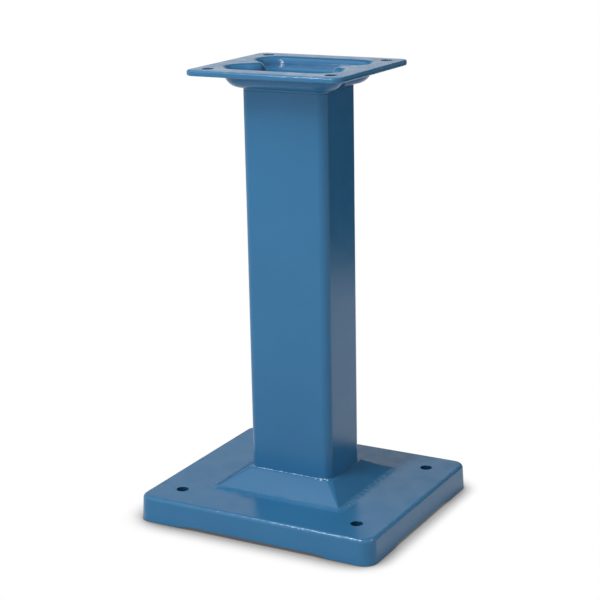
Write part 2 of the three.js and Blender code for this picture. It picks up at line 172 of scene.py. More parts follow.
# %% [markdown]
# ## Soft edges
# Sand moulds and paint leave no sharp edge on a casting, so every outer edge is rounded. A Bevel modifier
# would round them all alike, but these edges differ in width, so the bevel operator takes them group by
# group. Three marks on the points tell the paint where it lies differently: edge_rub on the middle of a
# bevel, where enamel is thin and uneven, drilled on the walls of bolt holes, which get a dark painted shade,
# and the third mark on the bead and its drops, which get a pale painted highlight.

# %% Bevel helper
MARKS = ("edge_rub", "drilled", "painted_highlight")


def new_casting():
    bm = bmesh.new()
    for mark in MARKS:
        bm.verts.layers.float.new(mark)
    return bm


def soften(bm, edges, width, steps):
    """Rounds edges, and marks the points that have faces of the round on all sides."""
    rub = bm.verts.layers.float["edge_rub"]
    bmesh.ops.recalc_face_normals(bm, faces=bm.faces)
    made = bmesh.ops.bevel(bm, geom=edges, offset=width, offset_type="OFFSET", segments=steps, profile=0.5,
                           affect="EDGES", material=-1)
    strip = set(made["faces"])
    for vert in made["verts"]:
        if strip.issuperset(vert.link_faces):
            vert[rub] = 1.0


print("marks for the paint:", ", ".join(MARKS))

# %% [markdown]
# ## Turned shapes
# A bolt hole, a boss or a washer is a profile turned about an axis. A ready-made cylinder would have no
# rounded mouth. So the profile is drawn as a short wire, its corners are bevelled, and spin turns it all the
# way round and welds the seam. The open edges that it leaves are found again by their radius and height.

# %% Turning helpers
NEAR = 0.01
PROFILE_STEPS = 4


def turned(bm, profile, rounds, x, y, steps=32):
    """Spins a wire of (radius, height) points about an upright axis, with some corners rounded by number."""
    wire = [bm.verts.new((x + radius, y, height)) for radius, height in profile]
    for start, end in zip(wire, wire[1:]):
        bm.edges.new((start, end))
    chain = dict.fromkeys(wire)
    for number, radius in rounds.items():
        made = bmesh.ops.bevel(bm, geom=[wire[number]], offset=radius, offset_type="OFFSET",
                               segments=PROFILE_STEPS, profile=0.5, affect="VERTICES", material=-1)
        chain.update(dict.fromkeys(made["verts"]))
    chain = [vert for vert in chain if vert.is_valid]
    edges = dict.fromkeys(edge for vert in chain for edge in vert.link_edges)
    bmesh.ops.spin(bm, geom=[*chain, *edges], cent=(x, y, 0), axis=(0, 0, 1), dvec=(0, 0, 0),
                   angle=2 * math.pi, steps=steps, use_merge=True, use_duplicate=False)


def mark_bore(bm, radius, x, y, top):
    """Marks the wall of an upright hole below its rounded mouth."""
    # the marked walls get a dark painted shade in the enamel
    drilled = bm.verts.layers.float["drilled"]
    for vert in bm.verts:
        if vert.co.z < top + NEAR and math.hypot(vert.co.x - x, vert.co.y - y) < radius + NEAR:
            vert[drilled] = 1.0


def open_ring(bm, radius, x, y, height):
    """The open edge at a radius and height about an upright axis, as a loop."""
    middle = Vector((x, y, height))
    found = [edge for edge in bm.edges if edge.is_boundary
             and all(abs((vert.co - middle).length - radius) < NEAR for vert in edge.verts)
             and all(abs(vert.co.z - height) < NEAR for vert in edge.verts)]
    return walk(found)


trial = bmesh.new()
turned(trial, [(2, 0), (1, 0), (1, 2)], {1: 0.2}, 0, 0)
print("a turned mouth has", len(trial.faces), "faces")
trial.free()

# %% [markdown]
# ## Joined solids
# Ribs and lugs grow out of a wall at odd places. Their points could be stitched to the wall one by one. It is
# simpler to make each as a plain closed solid and to let a Boolean modifier join it to the casting, which
# leaves one skin. The same modifier cuts a socket, or keeps only what two solids share.

# %% Joining helpers
WELD = 0.001


def tidy(bm):
    """Welds the seams and turns the faces outwards."""
    bmesh.ops.remove_doubles(bm, verts=bm.verts, dist=WELD)
    bmesh.ops.recalc_face_normals(bm, faces=bm.faces)
    return bm


def workpiece(name, bm):
    mesh = bpy.data.meshes.new(name)
    tidy(bm).to_mesh(mesh)
    bm.free()
    piece = bpy.data.objects.new(name, mesh)
    bpy.context.scene.collection.objects.link(piece)
    return piece


def joined(body, solids, operation="UNION"):
    """One skin round a body and the solids that grow out of it, or that cut it."""
    stock = workpiece("stock", body)
    tools = [workpiece("tool", solid) for solid in solids]
    for tool in tools:
        cut = stock.modifiers.new("cut", "BOOLEAN")
        cut.operation = operation
        cut.solver = "EXACT"
        cut.object = tool
    shaped = stock.evaluated_get(bpy.context.evaluated_depsgraph_get())
    skin = bmesh.new()
    skin.from_mesh(shaped.to_mesh())
    shaped.to_mesh_clear()
    for piece in [stock, *tools]:
        bpy.data.meshes.remove(piece.data)
    return skin


print("seams are welded within", WELD, "mm")

# %% [markdown]
# ## Handing a piece to the frame
# A finished piece stands for its CAD node and rides on the stand's one body, because nothing on it moves.
# Flat shading would show every facet of a round edge, and smooth shading alone would bend the light on the
# flats. So faces are smooth except across creases, and the Weighted Normal modifier keeps the large faces
# flat where they meet a small rounded edge.

# %% Finishing helper
MM = 0.001
CREASE = math.radians(38)


def finish_piece(bm, name, material, slot, *nodes):
    tidy(bm)
    bmesh.ops.scale(bm, vec=(MM, MM, MM), verts=bm.verts)
    for face in bm.faces:
        face.smooth = True
    for edge in bm.edges:
        edge.smooth = not edge.is_manifold or edge.calc_face_angle() < CREASE
    open_edges = sum(not edge.is_manifold for edge in bm.edges)
    mesh = bpy.data.meshes.new(name)
    bm.to_mesh(mesh)
    bm.free()
    mesh.materials.append(material)
    piece = bpy.data.objects.new(name, mesh)
    bpy.context.scene.collection.objects.link(piece)
    flats = piece.modifiers.new("flat faces", "WEIGHTED_NORMAL")
    flats.keep_sharp = True
    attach(piece, "root")
    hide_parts(*nodes)
    print(name, "faces:", len(mesh.polygons), "open edges:", open_edges)


print("creases start at", round(math.degrees(CREASE)), "degrees")

# %% [markdown]
# ## Building materials from nodes
# A finish is a small tree of nodes. Each node could be made, set and linked line by line, which buries the
# idea of the finish. Here one helper makes a node and fills its sockets in the same call, and short ones
# stand for what the finishes need: a noise, a change of range, a blend of two colours, a mark on the points.

# %% Node helpers
def add(tree, kind, settings=None, **sockets):
    """A node with its settings and sockets filled in, each with a value or with another node's output.

    A key such as i6 means the socket of that number, because some nodes have several of one name.
    """
    node = tree.nodes.new(kind)
    for key, value in (settings or {}).items():
        setattr(node, key, value)
    for key, value in sockets.items():
        numbered = key[0] == "i" and key[1:].isdigit()
        socket = node.inputs[int(key[1:])] if numbered else node.inputs[key]
        if isinstance(value, bpy.types.NodeSocket):
            tree.links.new(value, socket)
        else:
            socket.default_value = value
    return node


def new_material(name):
    material = bpy.data.materials.new(name)
    material.use_nodes = True
    material.node_tree.nodes.clear()
    return material, material.node_tree


def noise(tree, where, scale, detail=3.0, roughness=0.5):
    texture = add(tree, "ShaderNodeTexNoise", Vector=where, Scale=scale, Detail=detail, Roughness=roughness)
    return texture.outputs["Fac"]


def between(tree, value, low, high, from_low=0.35, from_high=0.65):
    """Maps the middle of a noise, or another range, to low and high."""
    return add(tree, "ShaderNodeMapRange", Value=value, **{
        "From Min": from_low, "From Max": from_high, "To Min": low, "To Max": high}).outputs["Result"]


def blend(tree, share, first, second):
    mix = add(tree, "ShaderNodeMix", {"data_type": "RGBA"}, i0=share, i6=first, i7=second)
    return mix.outputs[2]


def mark(tree, name):
    return add(tree, "ShaderNodeAttribute", {"attribute_name": name}).outputs["Fac"]


print("node helpers ready, materials so far:", len(bpy.data.materials))

# %% [markdown]
# ## Blue enamel over cast iron
# The paint is a steel-blue semi-gloss enamel, sprayed over a sand casting. One colour and one roughness would
# look like plastic. So the colour drifts a little over a hand's width, the gloss is cloudy, and bump gives
# the dimples of sprayed enamel over the grain of the iron. On rounded edges the enamel is thinner, paler and
# rippled. The bolt holes get a dark painted shade, and the front of the bead and its drops a pale painted
# highlight. The pattern reads Object coordinates and the three marks, so it stays on the piece.

# %% Enamel
ENAMEL_DEEP = (0.0246, 0.1450, 0.3040, 1)
ENAMEL_PALE = (0.0290, 0.1580, 0.3240, 1)
ENAMEL_THIN = (0.075, 0.230, 0.410, 1)
# painted shade: a dark blue for the walls of the bolt holes
BORE_SHADE = (0.010, 0.065, 0.140, 1)
# painted highlight: a pale blue for the bead and its drops
HIGHLIGHT_PAINT = (0.36, 0.54, 0.71, 1)
ENAMEL_ROUGHNESS = (0.19, 0.27)
ENAMEL_IOR = 1.36
DRIFT_SHARE = (0.1, 0.9)
THIN_SHARE = (0.05, 0.40)
RIPPLE_STRENGTH = 0.9
RIPPLE_DEPTH = 0.0013
DIMPLE_STRENGTH = 0.13
DIMPLE_DEPTH = 0.0006
GRAIN_STRENGTH = 0.08
GRAIN_DEPTH = 0.00015


def enamel():
    material, tree = new_material("blue_enamel")
    where = add(tree, "ShaderNodeTexCoord").outputs["Object"]
    drift = noise(tree, where, scale=7.0, detail=2.0)
    cloud = noise(tree, where, scale=40.0, detail=3.0)
    ripple = noise(tree, where, scale=150.0, detail=1.0)
    dimples = noise(tree, where, scale=330.0, detail=2.0)
    grain = noise(tree, where, scale=1300.0, detail=2.0)
    rub = mark(tree, "edge_rub")
    tone = blend(tree, between(tree, drift, *DRIFT_SHARE), ENAMEL_DEEP, ENAMEL_PALE)
    worn = add(tree, "ShaderNodeMath", {"operation": "MULTIPLY"}, i0=rub,
               i1=between(tree, grain, *THIN_SHARE)).outputs["Value"]
    colour = blend(tree, worn, tone, ENAMEL_THIN)
    # painted shade: the bolt holes are darkened through their mark
    colour = blend(tree, mark(tree, "drilled"), colour, BORE_SHADE)
    # painted highlight: the bead and its drops are made pale through their mark
    colour = blend(tree, mark(tree, "painted_highlight"), colour, HIGHLIGHT_PAINT)
    uneven = add(tree, "ShaderNodeBump", Strength=between(tree, rub, 0.0, RIPPLE_STRENGTH, 0.0, 1.0),
                 Distance=RIPPLE_DEPTH, Height=ripple)
    coarse = add(tree, "ShaderNodeBump", Strength=DIMPLE_STRENGTH, Distance=DIMPLE_DEPTH, Height=dimples,
                 Normal=uneven.outputs["Normal"])
    fine = add(tree, "ShaderNodeBump", Strength=GRAIN_STRENGTH, Distance=GRAIN_DEPTH, Height=grain,
               Normal=coarse.outputs["Normal"])
    shader = add(tree, "ShaderNodeBsdfPrincipled", Roughness=between(tree, cloud, *ENAMEL_ROUGHNESS),
                 Normal=fine.outputs["Normal"], **{"Base Color": colour, "IOR": ENAMEL_IOR})
    add(tree, "ShaderNodeOutputMaterial", Surface=shader.outputs["BSDF"])
    return material


paint = enamel()
print(paint.name, "nodes:", len(paint.node_tree.nodes))

# %% [markdown]
# ## Zinc and black oxide
# The bolts under the base have a bright zinc plate, with the faint clouding and the fine grain of a plated
# fastener. The screws in the head have a black oxide skin, a little brown where it is thin. A metal of one
# colour and one roughness would do from afar, but looks too clean close up. So one function blends two
# colours and two roughnesses by a noise, and makes both skins.

# %% Fastener steels
SCRATCH_STRENGTH = 0.15
SCRATCH_DEPTH = 0.00008


def steel(name, dark, bright, rough_low, rough_high):
    material, tree = new_material(name)
    where = add(tree, "ShaderNodeTexCoord").outputs["Object"]
    cloud = noise(tree, where, scale=160.0, detail=4.0, roughness=0.6)
    scratch = noise(tree, where, scale=2600.0, detail=2.0)
    colour = blend(tree, between(tree, cloud, 0.0, 1.0), dark, bright)
    bump = add(tree, "ShaderNodeBump", Strength=SCRATCH_STRENGTH, Distance=SCRATCH_DEPTH, Height=scratch)
    shader = add(tree, "ShaderNodeBsdfPrincipled", Metallic=1.0, Normal=bump.outputs["Normal"],
                 Roughness=between(tree, cloud, rough_low, rough_high), **{"Base Color": colour})
    add(tree, "ShaderNodeOutputMaterial", Surface=shader.outputs["BSDF"])
    return material


zinc = steel("bright_zinc", dark=(0.42, 0.44, 0.46, 1), bright=(0.62, 0.63, 0.64, 1),
             rough_low=0.28, rough_high=0.42)
black = steel("black_oxide", dark=(0.018, 0.018, 0.020, 1), bright=(0.045, 0.041, 0.038, 1),
              rough_low=0.34, rough_high=0.50)
print(zinc.name, black.name)

# %% [markdown]
# ## The base: skirt and plate
# The base is a low box without a bottom, whose skirt leans in a little so that the casting leaves its mould.
# Between the four corner pads the skirt is relieved, so that the stand never rocks. A Boolean could cut the
# relief, but would leave it with sharp ends. So a rounded rectangle grows into the skirt, a bevel rounds the
# upper edge, planes cut the skirt where the relief curves, and the cut points are lifted along a soft step.

# %% Skirt
BASE_LENGTH = 445
BASE_WIDTH = 391
BASE_HEIGHT = 43.8
BASE_CORNER = 24
BASE_EDGE = 6
BASE_DRAFT = 2.5
BASE_WALL = 9
PAD_LENGTH = 72
PAD_BLEND = 34
PAD_RELIEF = 4.2
PAD_CUTS = 10
PLATE_UNDERSIDE = BASE_HEIGHT - BASE_WALL


def relief_at(point):
    """How far the skirt's foot is lifted at a point of its outline, by a step with level ends."""
    on_long_side = abs(point.y) > BASE_WIDTH / 2 - NEAR
    along, half = (abs(point.x), BASE_LENGTH / 2) if on_long_side else (abs(point.y), BASE_WIDTH / 2)
    share = min(max((half - PAD_LENGTH - along) / PAD_BLEND, 0), 1)
    return PAD_RELIEF * share ** 3 * (share * (6 * share - 15) + 10)


def cut_walls(bm, axis, place):
    """Cuts the skirt and its rounded edge, which are all four-sided, but not the plate."""
    walls = [face for face in bm.faces if len(face.verts) == 4]
    edges = dict.fromkeys(edge for face in walls for edge in face.edges)
    verts = dict.fromkeys(vert for face in walls for vert in face.verts)
    bmesh.ops.bisect_plane(bm, geom=[*walls, *edges, *verts], dist=WELD, plane_co=axis * place, plane_no=axis)


base = new_casting()
ground = rounded_loop(base, BASE_LENGTH, BASE_WIDTH, BASE_CORNER, 0)
shoulder = lift(base, extrude_loop(base, ground), BASE_HEIGHT)
shrink(shoulder, BASE_LENGTH, BASE_WIDTH, BASE_CORNER, BASE_DRAFT)
base.faces.new(shoulder)
soften(base, loop_edges(base, shoulder), BASE_EDGE, steps=6)
for axis, half in ((Vector((1, 0, 0)), BASE_LENGTH / 2), (Vector((0, 1, 0)), BASE_WIDTH / 2)):
    for step in range(PAD_CUTS + 1):
        place = half - PAD_LENGTH - PAD_BLEND * step / PAD_CUTS
        cut_walls(base, axis, place)
        cut_walls(base, axis, -place)
plate_rim = open_rim(base, max(base.faces, key=lambda face: len(face.verts)))
for vert in base.verts:
    if vert.co.z < NEAR:
        vert.co.z = relief_at(vert.co)
print("skirt faces:", len(base.faces))

# %% [markdown]
# ## The base: inside of the skirt
# The skirt is a wall of one thickness, open below. A Solidify modifier would thicken the hub and the plate as
# well, which have walls of their own. So the foot's loop grows inwards by the wall's thickness and then up to
# the plate, and its two lower edges get the small round that a mould's parting face leaves.

# %% Inside of the skirt
FOOT_EDGE = 1.3

skirt_room = (BASE_LENGTH - 2 * BASE_WALL, BASE_WIDTH - 2 * BASE_WALL, BASE_CORNER - BASE_WALL)
foot_out = walk([edge for edge in base.edges
                 if edge.is_boundary and max(vert.co.z for vert in edge.verts) < PLATE_UNDERSIDE])
foot_in = shrink(extrude_loop(base, foot_out), BASE_LENGTH, BASE_WIDTH, BASE_CORNER, BASE_WALL)
skirt_roof = extrude_loop(base, foot_in)
for vert in skirt_roof:
    vert.co.z = PLATE_UNDERSIDE
shrink(skirt_roof, *skirt_room, BASE_DRAFT)
soften(base, loop_edges(base, foot_out) + loop_edges(base, foot_in), FOOT_EDGE, steps=3)
print("foot points:", len(skirt_roof))

# %% [markdown]
# ## The base: pyramid hub
# The hub rises from the plate like a cut-off pyramid and holds the column's foot in a shallow socket. A
# scaled loop would make it, but with corners that widen towards the foot. Here each quarter of the loop moves
# outwards, and the corners of the foot and of the lip are then drawn tighter, which leaves a crisp ridge down
# each corner. The foot gets a wide fillet, so that the slope runs softly into the plate, and the lip a narrow
# round, both by the bevel operator.

# %% Hub and socket
COLUMN_LENGTH = 153.5
COLUMN_WIDTH = 114
HUB_RISE = 29.2
HUB_RUN_X = 41
HUB_RUN_Y = 46
HUB_LIP = 3
HUB_CORNER = 16
HUB_LIP_CORNER = 7
HUB_FOOT_CORNER = 6
HUB_FOOT_RADIUS = 24
HUB_LIP_RADIUS = 4
HUB_APRON = 12
SOCKET_CLEARANCE = 0.3
SOCKET_DEPTH = 8
SOCKET_EDGE = 0.4

hub_top = BASE_HEIGHT + HUB_RISE
hub_slope = math.atan2(2 * HUB_RISE, HUB_RUN_X + HUB_RUN_Y)
hub_turn = math.tan(hub_slope / 2)
lip_offset = SOCKET_CLEARANCE + HUB_LIP
lip_length = COLUMN_LENGTH + 2 * lip_offset
lip_width = COLUMN_WIDTH + 2 * lip_offset
hub_lip = rounded_loop(base, lip_length, lip_width, HUB_CORNER, hub_top)
hub_foot = spread(base, extrude_loop(base, hub_lip), HUB_RUN_X, HUB_RUN_Y, -HUB_RISE)
tighten(hub_foot, lip_length + 2 * HUB_RUN_X, lip_width + 2 * HUB_RUN_Y, HUB_CORNER, HUB_FOOT_CORNER)
hub_apron = spread(base, extrude_loop(base, hub_foot), HUB_APRON, HUB_APRON, 0)
socket_lip = shrink(extrude_loop(base, hub_lip), lip_length, lip_width, HUB_CORNER, HUB_LIP)
socket_floor = lift(base, extrude_loop(base, socket_lip), -SOCKET_DEPTH)
tighten(hub_lip, lip_length, lip_width, HUB_CORNER, HUB_LIP_CORNER)
soften(base, loop_edges(base, hub_foot), HUB_FOOT_RADIUS * hub_turn, steps=8)
soften(base, loop_edges(base, hub_lip), HUB_LIP_RADIUS * hub_turn, steps=3)
soften(base, loop_edges(base, socket_lip), SOCKET_EDGE, steps=2)
print("hub top at", hub_top, "mm, fillet width", round(HUB_FOOT_RADIUS * hub_turn, 2), "mm")

# %% [markdown]
# ## The base: bead at the column's foot
# Filler and paint gather in the joint round the column's foot and dry to a thin, uneven bead, which catches
# the light as a bright broken line. A bump in the paint could suggest it, but would not show against the
# column. So a rounded rectangle is cut into short lengths and grown inwards through half a turn, and noise
# then raises or lowers its crown. The bead starts on the hub's lip and reaches about 2 mm into the column's
# wall, so only its outer edge shows, and it covers the gap of the socket. A few drops lie on the lip near the
# front corner.

# %% Bead
BEAD_START = 0.5
BEAD_RADIUS = 1.5
BEAD_SINK = 0.3
BEAD_TURNS = 8
BEAD_PITCH = 1.6
BEAD_ROUGH = 0.7
BEAD_LUMP = 4.0
# the share of painted highlight along the front of the bead
BEAD_HIGHLIGHT_SHARE = 0.42
# Each drop is a centre and a radius.
DROPS = [(Vector((62.5, -60.1, 72.8)), 3.0),
         (Vector((73.0, -58.0, 73.0)), 1.8),
         (Vector((52.0, -60.3, 73.0)), 1.2)]

bead = new_casting()
bead_offset = SOCKET_CLEARANCE + BEAD_START
bead_size = (COLUMN_LENGTH + 2 * bead_offset, COLUMN_WIDTH + 2 * bead_offset,
             HUB_CORNER - HUB_LIP + BEAD_START)
bead_start = rounded_loop(bead, *bead_size, hub_top - BEAD_SINK)
for edge in loop_edges(bead, bead_start):
    bmesh.ops.subdivide_edges(bead, edges=[edge], cuts=int(edge.calc_length() / BEAD_PITCH))
bead_start = walk(bead.edges)
bead_loop = bead_start
for step in range(1, BEAD_TURNS + 1):
    before, after = [math.pi * turn / BEAD_TURNS for turn in (step - 1, step)]
    bead_loop = extrude_loop(bead, bead_loop)
    lift(bead, bead_loop, BEAD_RADIUS * (math.sin(after) - math.sin(before)))
    shrink(bead_loop, *bead_size, BEAD_RADIUS * (math.cos(before) - math.cos(after)))
bmesh.ops.bridge_loops(bead, edges=loop_edges(bead, bead_start) + loop_edges(bead, bead_loop))
for vert in bead.verts:
    rise = max(vert.co.z - hub_top, 0)
    vert.co.z += BEAD_ROUGH * rise * noise_at(vert.co / BEAD_LUMP)
drops = []
for centre, radius in DROPS:
    drop = new_casting()
    bmesh.ops.create_icosphere(drop, subdivisions=3, radius=radius, matrix=Matrix.Translation(centre))
    drops.append(drop)
print("bead points:", len(bead.verts), "drops:", len(drops))

# %% [markdown]
# ## The base: anchor holes and bosses
# Each floor bolt passes through a boss, so that tightening it does not bend the plate. The holes could be cut
# by Booleans, and their edges would then be sharp. One turned profile makes the rounded mouth, the hole, the
# boss's foot and its side at once. The plate's top is then one flat face between its rim, the hub and the
# four mouths.

# %% Anchors and plate top
ANCHOR_INSET_X = 55.5
ANCHOR_INSET_Y = 59
ANCHOR_RADIUS = 10.25
ANCHOR_MOUTH = 0.6
ANCHOR_FOOT = 0.8
MOUTH_FLAT = 14
BOSS_RADIUS = 21
BOSS_EDGE = 1.2
HOLE_STEPS = 40
QUARTERS = [(1, -1), (1, 1), (-1, 1), (-1, -1)]

anchors = [(sign_x * (BASE_LENGTH / 2 - ANCHOR_INSET_X), sign_y * (BASE_WIDTH / 2 - ANCHOR_INSET_Y))
           for sign_x, sign_y in QUARTERS]
for x, y in anchors:
    profile = [(MOUTH_FLAT, BASE_HEIGHT), (ANCHOR_RADIUS, BASE_HEIGHT), (ANCHOR_RADIUS, 0), (BOSS_RADIUS, 0),
               (BOSS_RADIUS, PLATE_UNDERSIDE)]
    turned(base, profile, {1: ANCHOR_MOUTH, 2: ANCHOR_FOOT, 3: BOSS_EDGE}, x, y, HOLE_STEPS)
    mark_bore(base, ANCHOR_RADIUS, x, y, BASE_HEIGHT - ANCHOR_MOUTH)
mouths = [open_ring(base, MOUTH_FLAT, x, y, BASE_HEIGHT) for x, y in anchors]
flat_fill(base, [plate_rim, hub_apron, *mouths])
print("anchor holes:", len(mouths))

# %% [markdown]
# ## The base: web and hollow
# The column stands on a web with a large core hole and four bolt holes. Below it the hub is hollow, with the
# same slope outside and inside, as a core box would leave it. Copying the outer faces inwards would also copy
# their fillets, so the hollow is a loop of its own, worked out from the hub's run and the wall. Flat faces
# close the gaps between the loops.

# %% Web and hollow
WEB = 12
CORE_RADIUS = 30
CORE_STEPS = 64
BOLT_HOLE = 6.5
LUG_X = 51.45
LUG_Y = 31.7

socket_height = hub_top - SOCKET_DEPTH
web_height = socket_height - WEB
hollow_wall = BASE_WALL / math.cos(hub_slope) / HUB_RISE


def hollow_share(height):
    """How far the hollow has spread at a height, from 0 at the hub's lip to 1 at its foot."""
    return (hub_top - height) / HUB_RISE - hollow_wall


def hollow_size(share):
    """Length, width and corner radius of the hollow."""
    return (lip_length + 2 * HUB_RUN_X * share, lip_width + 2 * HUB_RUN_Y * share,
            HUB_CORNER + (HUB_FOOT_CORNER - HUB_CORNER) * share)


lugs = [(sign_x * LUG_X, sign_y * LUG_Y) for sign_x, sign_y in QUARTERS]
web_holes = [ring(base, CORE_RADIUS, 0, 0, socket_height, CORE_STEPS)]
web_holes += [ring(base, BOLT_HOLE, x, y, socket_height) for x, y in lugs]
web_mouths = [lift(base, extrude_loop(base, hole), -WEB) for hole in web_holes]
flat_fill(base, [socket_floor, *web_holes])
top_share = hollow_share(web_height)
foot_share = hollow_share(PLATE_UNDERSIDE)
top_size = hollow_size(top_share)
foot_length, foot_width, foot_corner = hollow_size(foot_share)
hollow_top = rounded_loop(base, *top_size, web_height)
more = foot_share - top_share
hollow_foot = spread(base, extrude_loop(base, hollow_top), HUB_RUN_X * more, HUB_RUN_Y * more,
                     PLATE_UNDERSIDE - web_height)
tighten(hollow_foot, foot_length, foot_width, top_size[2], foot_corner)
flat_fill(base, [hollow_top, *web_mouths], up=-1)
bosses = [open_ring(base, BOSS_RADIUS, x, y, PLATE_UNDERSIDE) for x, y in anchors]
flat_fill(base, [skirt_roof, hollow_foot, *bosses], up=-1)
print("web from", round(web_height, 2), "to", round(socket_height, 2), "mm")

# %% [markdown]
# ## The base: ribs, and one skin
# A rib runs from the hollow to the middle of each side of the skirt and stiffens the plate. Its lower edges
# are rounded like those of the skirt. Ribs, bead and drops are all joined to the base here. A join does not
# carry the marks of what it adds, so the painted highlight is marked afterwards, by place: pale patches along
# the front of the bead, where the light catches it, and all over the drops.

# %% Ribs and base skin
RIB = 8
RIB_DEPTH = 22
RIB_BITE = 4
RIB_EDGE = 1.5
BEAD_CLEAR = 0.02


def rib(centre, size):
    bm = new_casting()
    bmesh.ops.create_cube(bm, size=1)
    bmesh.ops.scale(bm, vec=size, verts=bm.verts)
    bmesh.ops.translate(bm, vec=centre, verts=bm.verts)
    low = min(vert.co.z for vert in bm.verts)
    lower = [edge for edge in bm.edges if all(vert.co.z < low + NEAR for vert in edge.verts)]
    soften(bm, lower, RIB_EDGE, steps=3)
    return bm


rib_height = RIB_DEPTH + RIB_BITE
rib_centre = PLATE_UNDERSIDE + RIB_BITE - rib_height / 2
ribs = []
for half, lip_half, run, along in ((BASE_LENGTH / 2, lip_length / 2, HUB_RUN_X, True),
                                   (BASE_WIDTH / 2, lip_width / 2, HUB_RUN_Y, False)):
    inner = lip_half + run - BASE_WALL
    outer = half - BASE_DRAFT - BASE_WALL / 2
    size = (outer - inner, RIB, rib_height) if along else (RIB, outer - inner, rib_height)
    for sign in (1, -1):
        middle = sign * (inner + outer) / 2
        ribs.append(rib((middle, 0, rib_centre) if along else (0, middle, rib_centre), size))
base = joined(base, [*ribs, bead, *drops])
painted_highlight = base.verts.layers.float["painted_highlight"]
on_bead = [vert for vert in base.verts if vert.co.z > hub_top + BEAD_CLEAR]
for vert in on_bead:
    # painted highlight: only the front of the bead, where the light falls, is made pale
    in_front = vert.co.y < -COLUMN_WIDTH / 2 + HUB_LIP
    vert[painted_highlight] = min(max(BEAD_HIGHLIGHT_SHARE + noise_at(vert.co / BEAD_LUMP), 0), 1) if in_front else 0
# painted highlight: the drops are made pale all over
for centre, radius in DROPS:
    on_drop = {vert for vert in base.verts if (vert.co - centre).length < radius + NEAR}
    for vert in on_drop:
        if all(on_drop.issuperset(face.verts) for face in vert.link_faces):
            vert[painted_highlight] = 1
print("bead points above the lip:", len(on_bead))
finish_piece(base, "base_skin", paint, "cast_paint", "base_casting")

# %% [markdown]
# ## The column: lugs
# A lug in each corner of the column, at both ends, takes a fastener's thread. It is a block that fills the
# corner, round on its inner side and bored through. It could be grown out of the tube's own faces, but the
# tube is easier to read as a plain one. So each lug is a closed solid that bites a little into the walls. It
# is built in the first quarter and brought to its own by a negative scale.

# %% Lug helper
LUG_RADIUS = 12
LUG_STEPS = 24


def lug(sign_x, sign_y, bottom, height, bore, reach_x, reach_y):
    """A bored prism in a corner of a tube, round on its inner corner."""
    bm = new_casting()
    corners = bmesh.ops.create_grid(bm, x_segments=1, y_segments=1, size=0.5)["verts"]
    inner_x, inner_y = LUG_X - LUG_RADIUS, LUG_Y - LUG_RADIUS
    bmesh.ops.scale(bm, vec=(reach_x - inner_x, reach_y - inner_y, 1), verts=corners)
    bmesh.ops.translate(bm, vec=((reach_x + inner_x) / 2, (reach_y + inner_y) / 2, bottom), verts=corners)
    inner = min(corners, key=lambda vert: vert.co.x + vert.co.y)
    bmesh.ops.bevel(bm, geom=[inner], offset=LUG_RADIUS, offset_type="OFFSET", segments=8, profile=0.5,
                    affect="VERTICES", material=-1)
    outline = open_rim(bm, bm.faces[:][0])
    hole = ring(bm, bore, LUG_X, LUG_Y, bottom, LUG_STEPS)
    tops = [lift(bm, extrude_loop(bm, loop), height) for loop in (outline, hole)]
    flat_fill(bm, [outline, hole], up=-1)
    flat_fill(bm, tops)
    bmesh.ops.scale(bm, vec=(sign_x, sign_y, 1), verts=bm.verts)
    return bm


print("lug centres:", lugs)

# %% [markdown]
# ## The column: tube
# The column is a straight rectangular tube with rounded corners. A bevelled cube with a Solidify modifier
# would come close. Two rounded rectangles, one inside the other, give both walls their true radius instead.
# They grow to the column's height, and bridges close the ends.

# %% Column
COLUMN_RADIUS = 14
COLUMN_WALL = 7
COLUMN_HEIGHT = 658.6
COLUMN_STEPS = 14
SEAT_GAP = 0.2
FOOT_LUG = 45
FOOT_LUG_BORE = 6.3
TOP_LUG = 40
TOP_LUG_BORE = 5.3
LUG_BITE = 2.5
SPIGOT_DEPTH = 30
END_EDGE = 0.6

column_foot = socket_height + SEAT_GAP
bore_length = COLUMN_LENGTH - 2 * COLUMN_WALL
bore_width = COLUMN_WIDTH - 2 * COLUMN_WALL
column = new_casting()
ends = []
for length, width, radius in ((COLUMN_LENGTH, COLUMN_WIDTH, COLUMN_RADIUS),
                              (bore_length, bore_width, COLUMN_RADIUS - COLUMN_WALL)):
    low = rounded_loop(column, length, width, radius, column_foot, COLUMN_STEPS)
    ends.append((low, lift(column, extrude_loop(column, low), COLUMN_HEIGHT)))
for outer, inner in zip(*ends):
    bmesh.ops.bridge_loops(column, edges=loop_edges(column, outer) + loop_edges(column, inner))
soften(column, [edge for loop in ends[0] for edge in loop_edges(column, loop)], END_EDGE, steps=2)
lug_reach = (bore_length / 2 + LUG_BITE, bore_width / 2 + LUG_BITE)
top_lug_foot = column_foot + COLUMN_HEIGHT - SPIGOT_DEPTH - TOP_LUG
column_lugs = [lug(*quarter, column_foot, FOOT_LUG, FOOT_LUG_BORE, *lug_reach) for quarter in QUARTERS]
column_lugs += [lug(*quarter, top_lug_foot, TOP_LUG, TOP_LUG_BORE, *lug_reach) for quarter in QUARTERS]
column = joined(column, column_lugs)
finish_piece(column, "column_skin", paint, "cast_paint", "column")

# %% [markdown]
# ## The head: outlines
# The head's mouth is a rectangle with a round lobe at each corner and a tongue that reaches in at the middle
# of each short side, where the wall comes back to the column's face. It could be traced point by point. But a
# quarter of it is only two arcs and the straight lines that touch them, so each arc is made by spinning one
# point and the rest is its mirror image. The neck below has as many points as the mouth, so that one can flow
# into the other.

# %% Mouth and neck outlines
MOUTH_OVER_X = 34
MOUTH_OVER_Y = 35
LOBE_RADIUS = 42
TONGUE_RADIUS = 11.5
FRONT_STEPS = 8
LOBE_STEPS = 18
FLANK_STEPS = 5
TONGUE_STEPS = 8

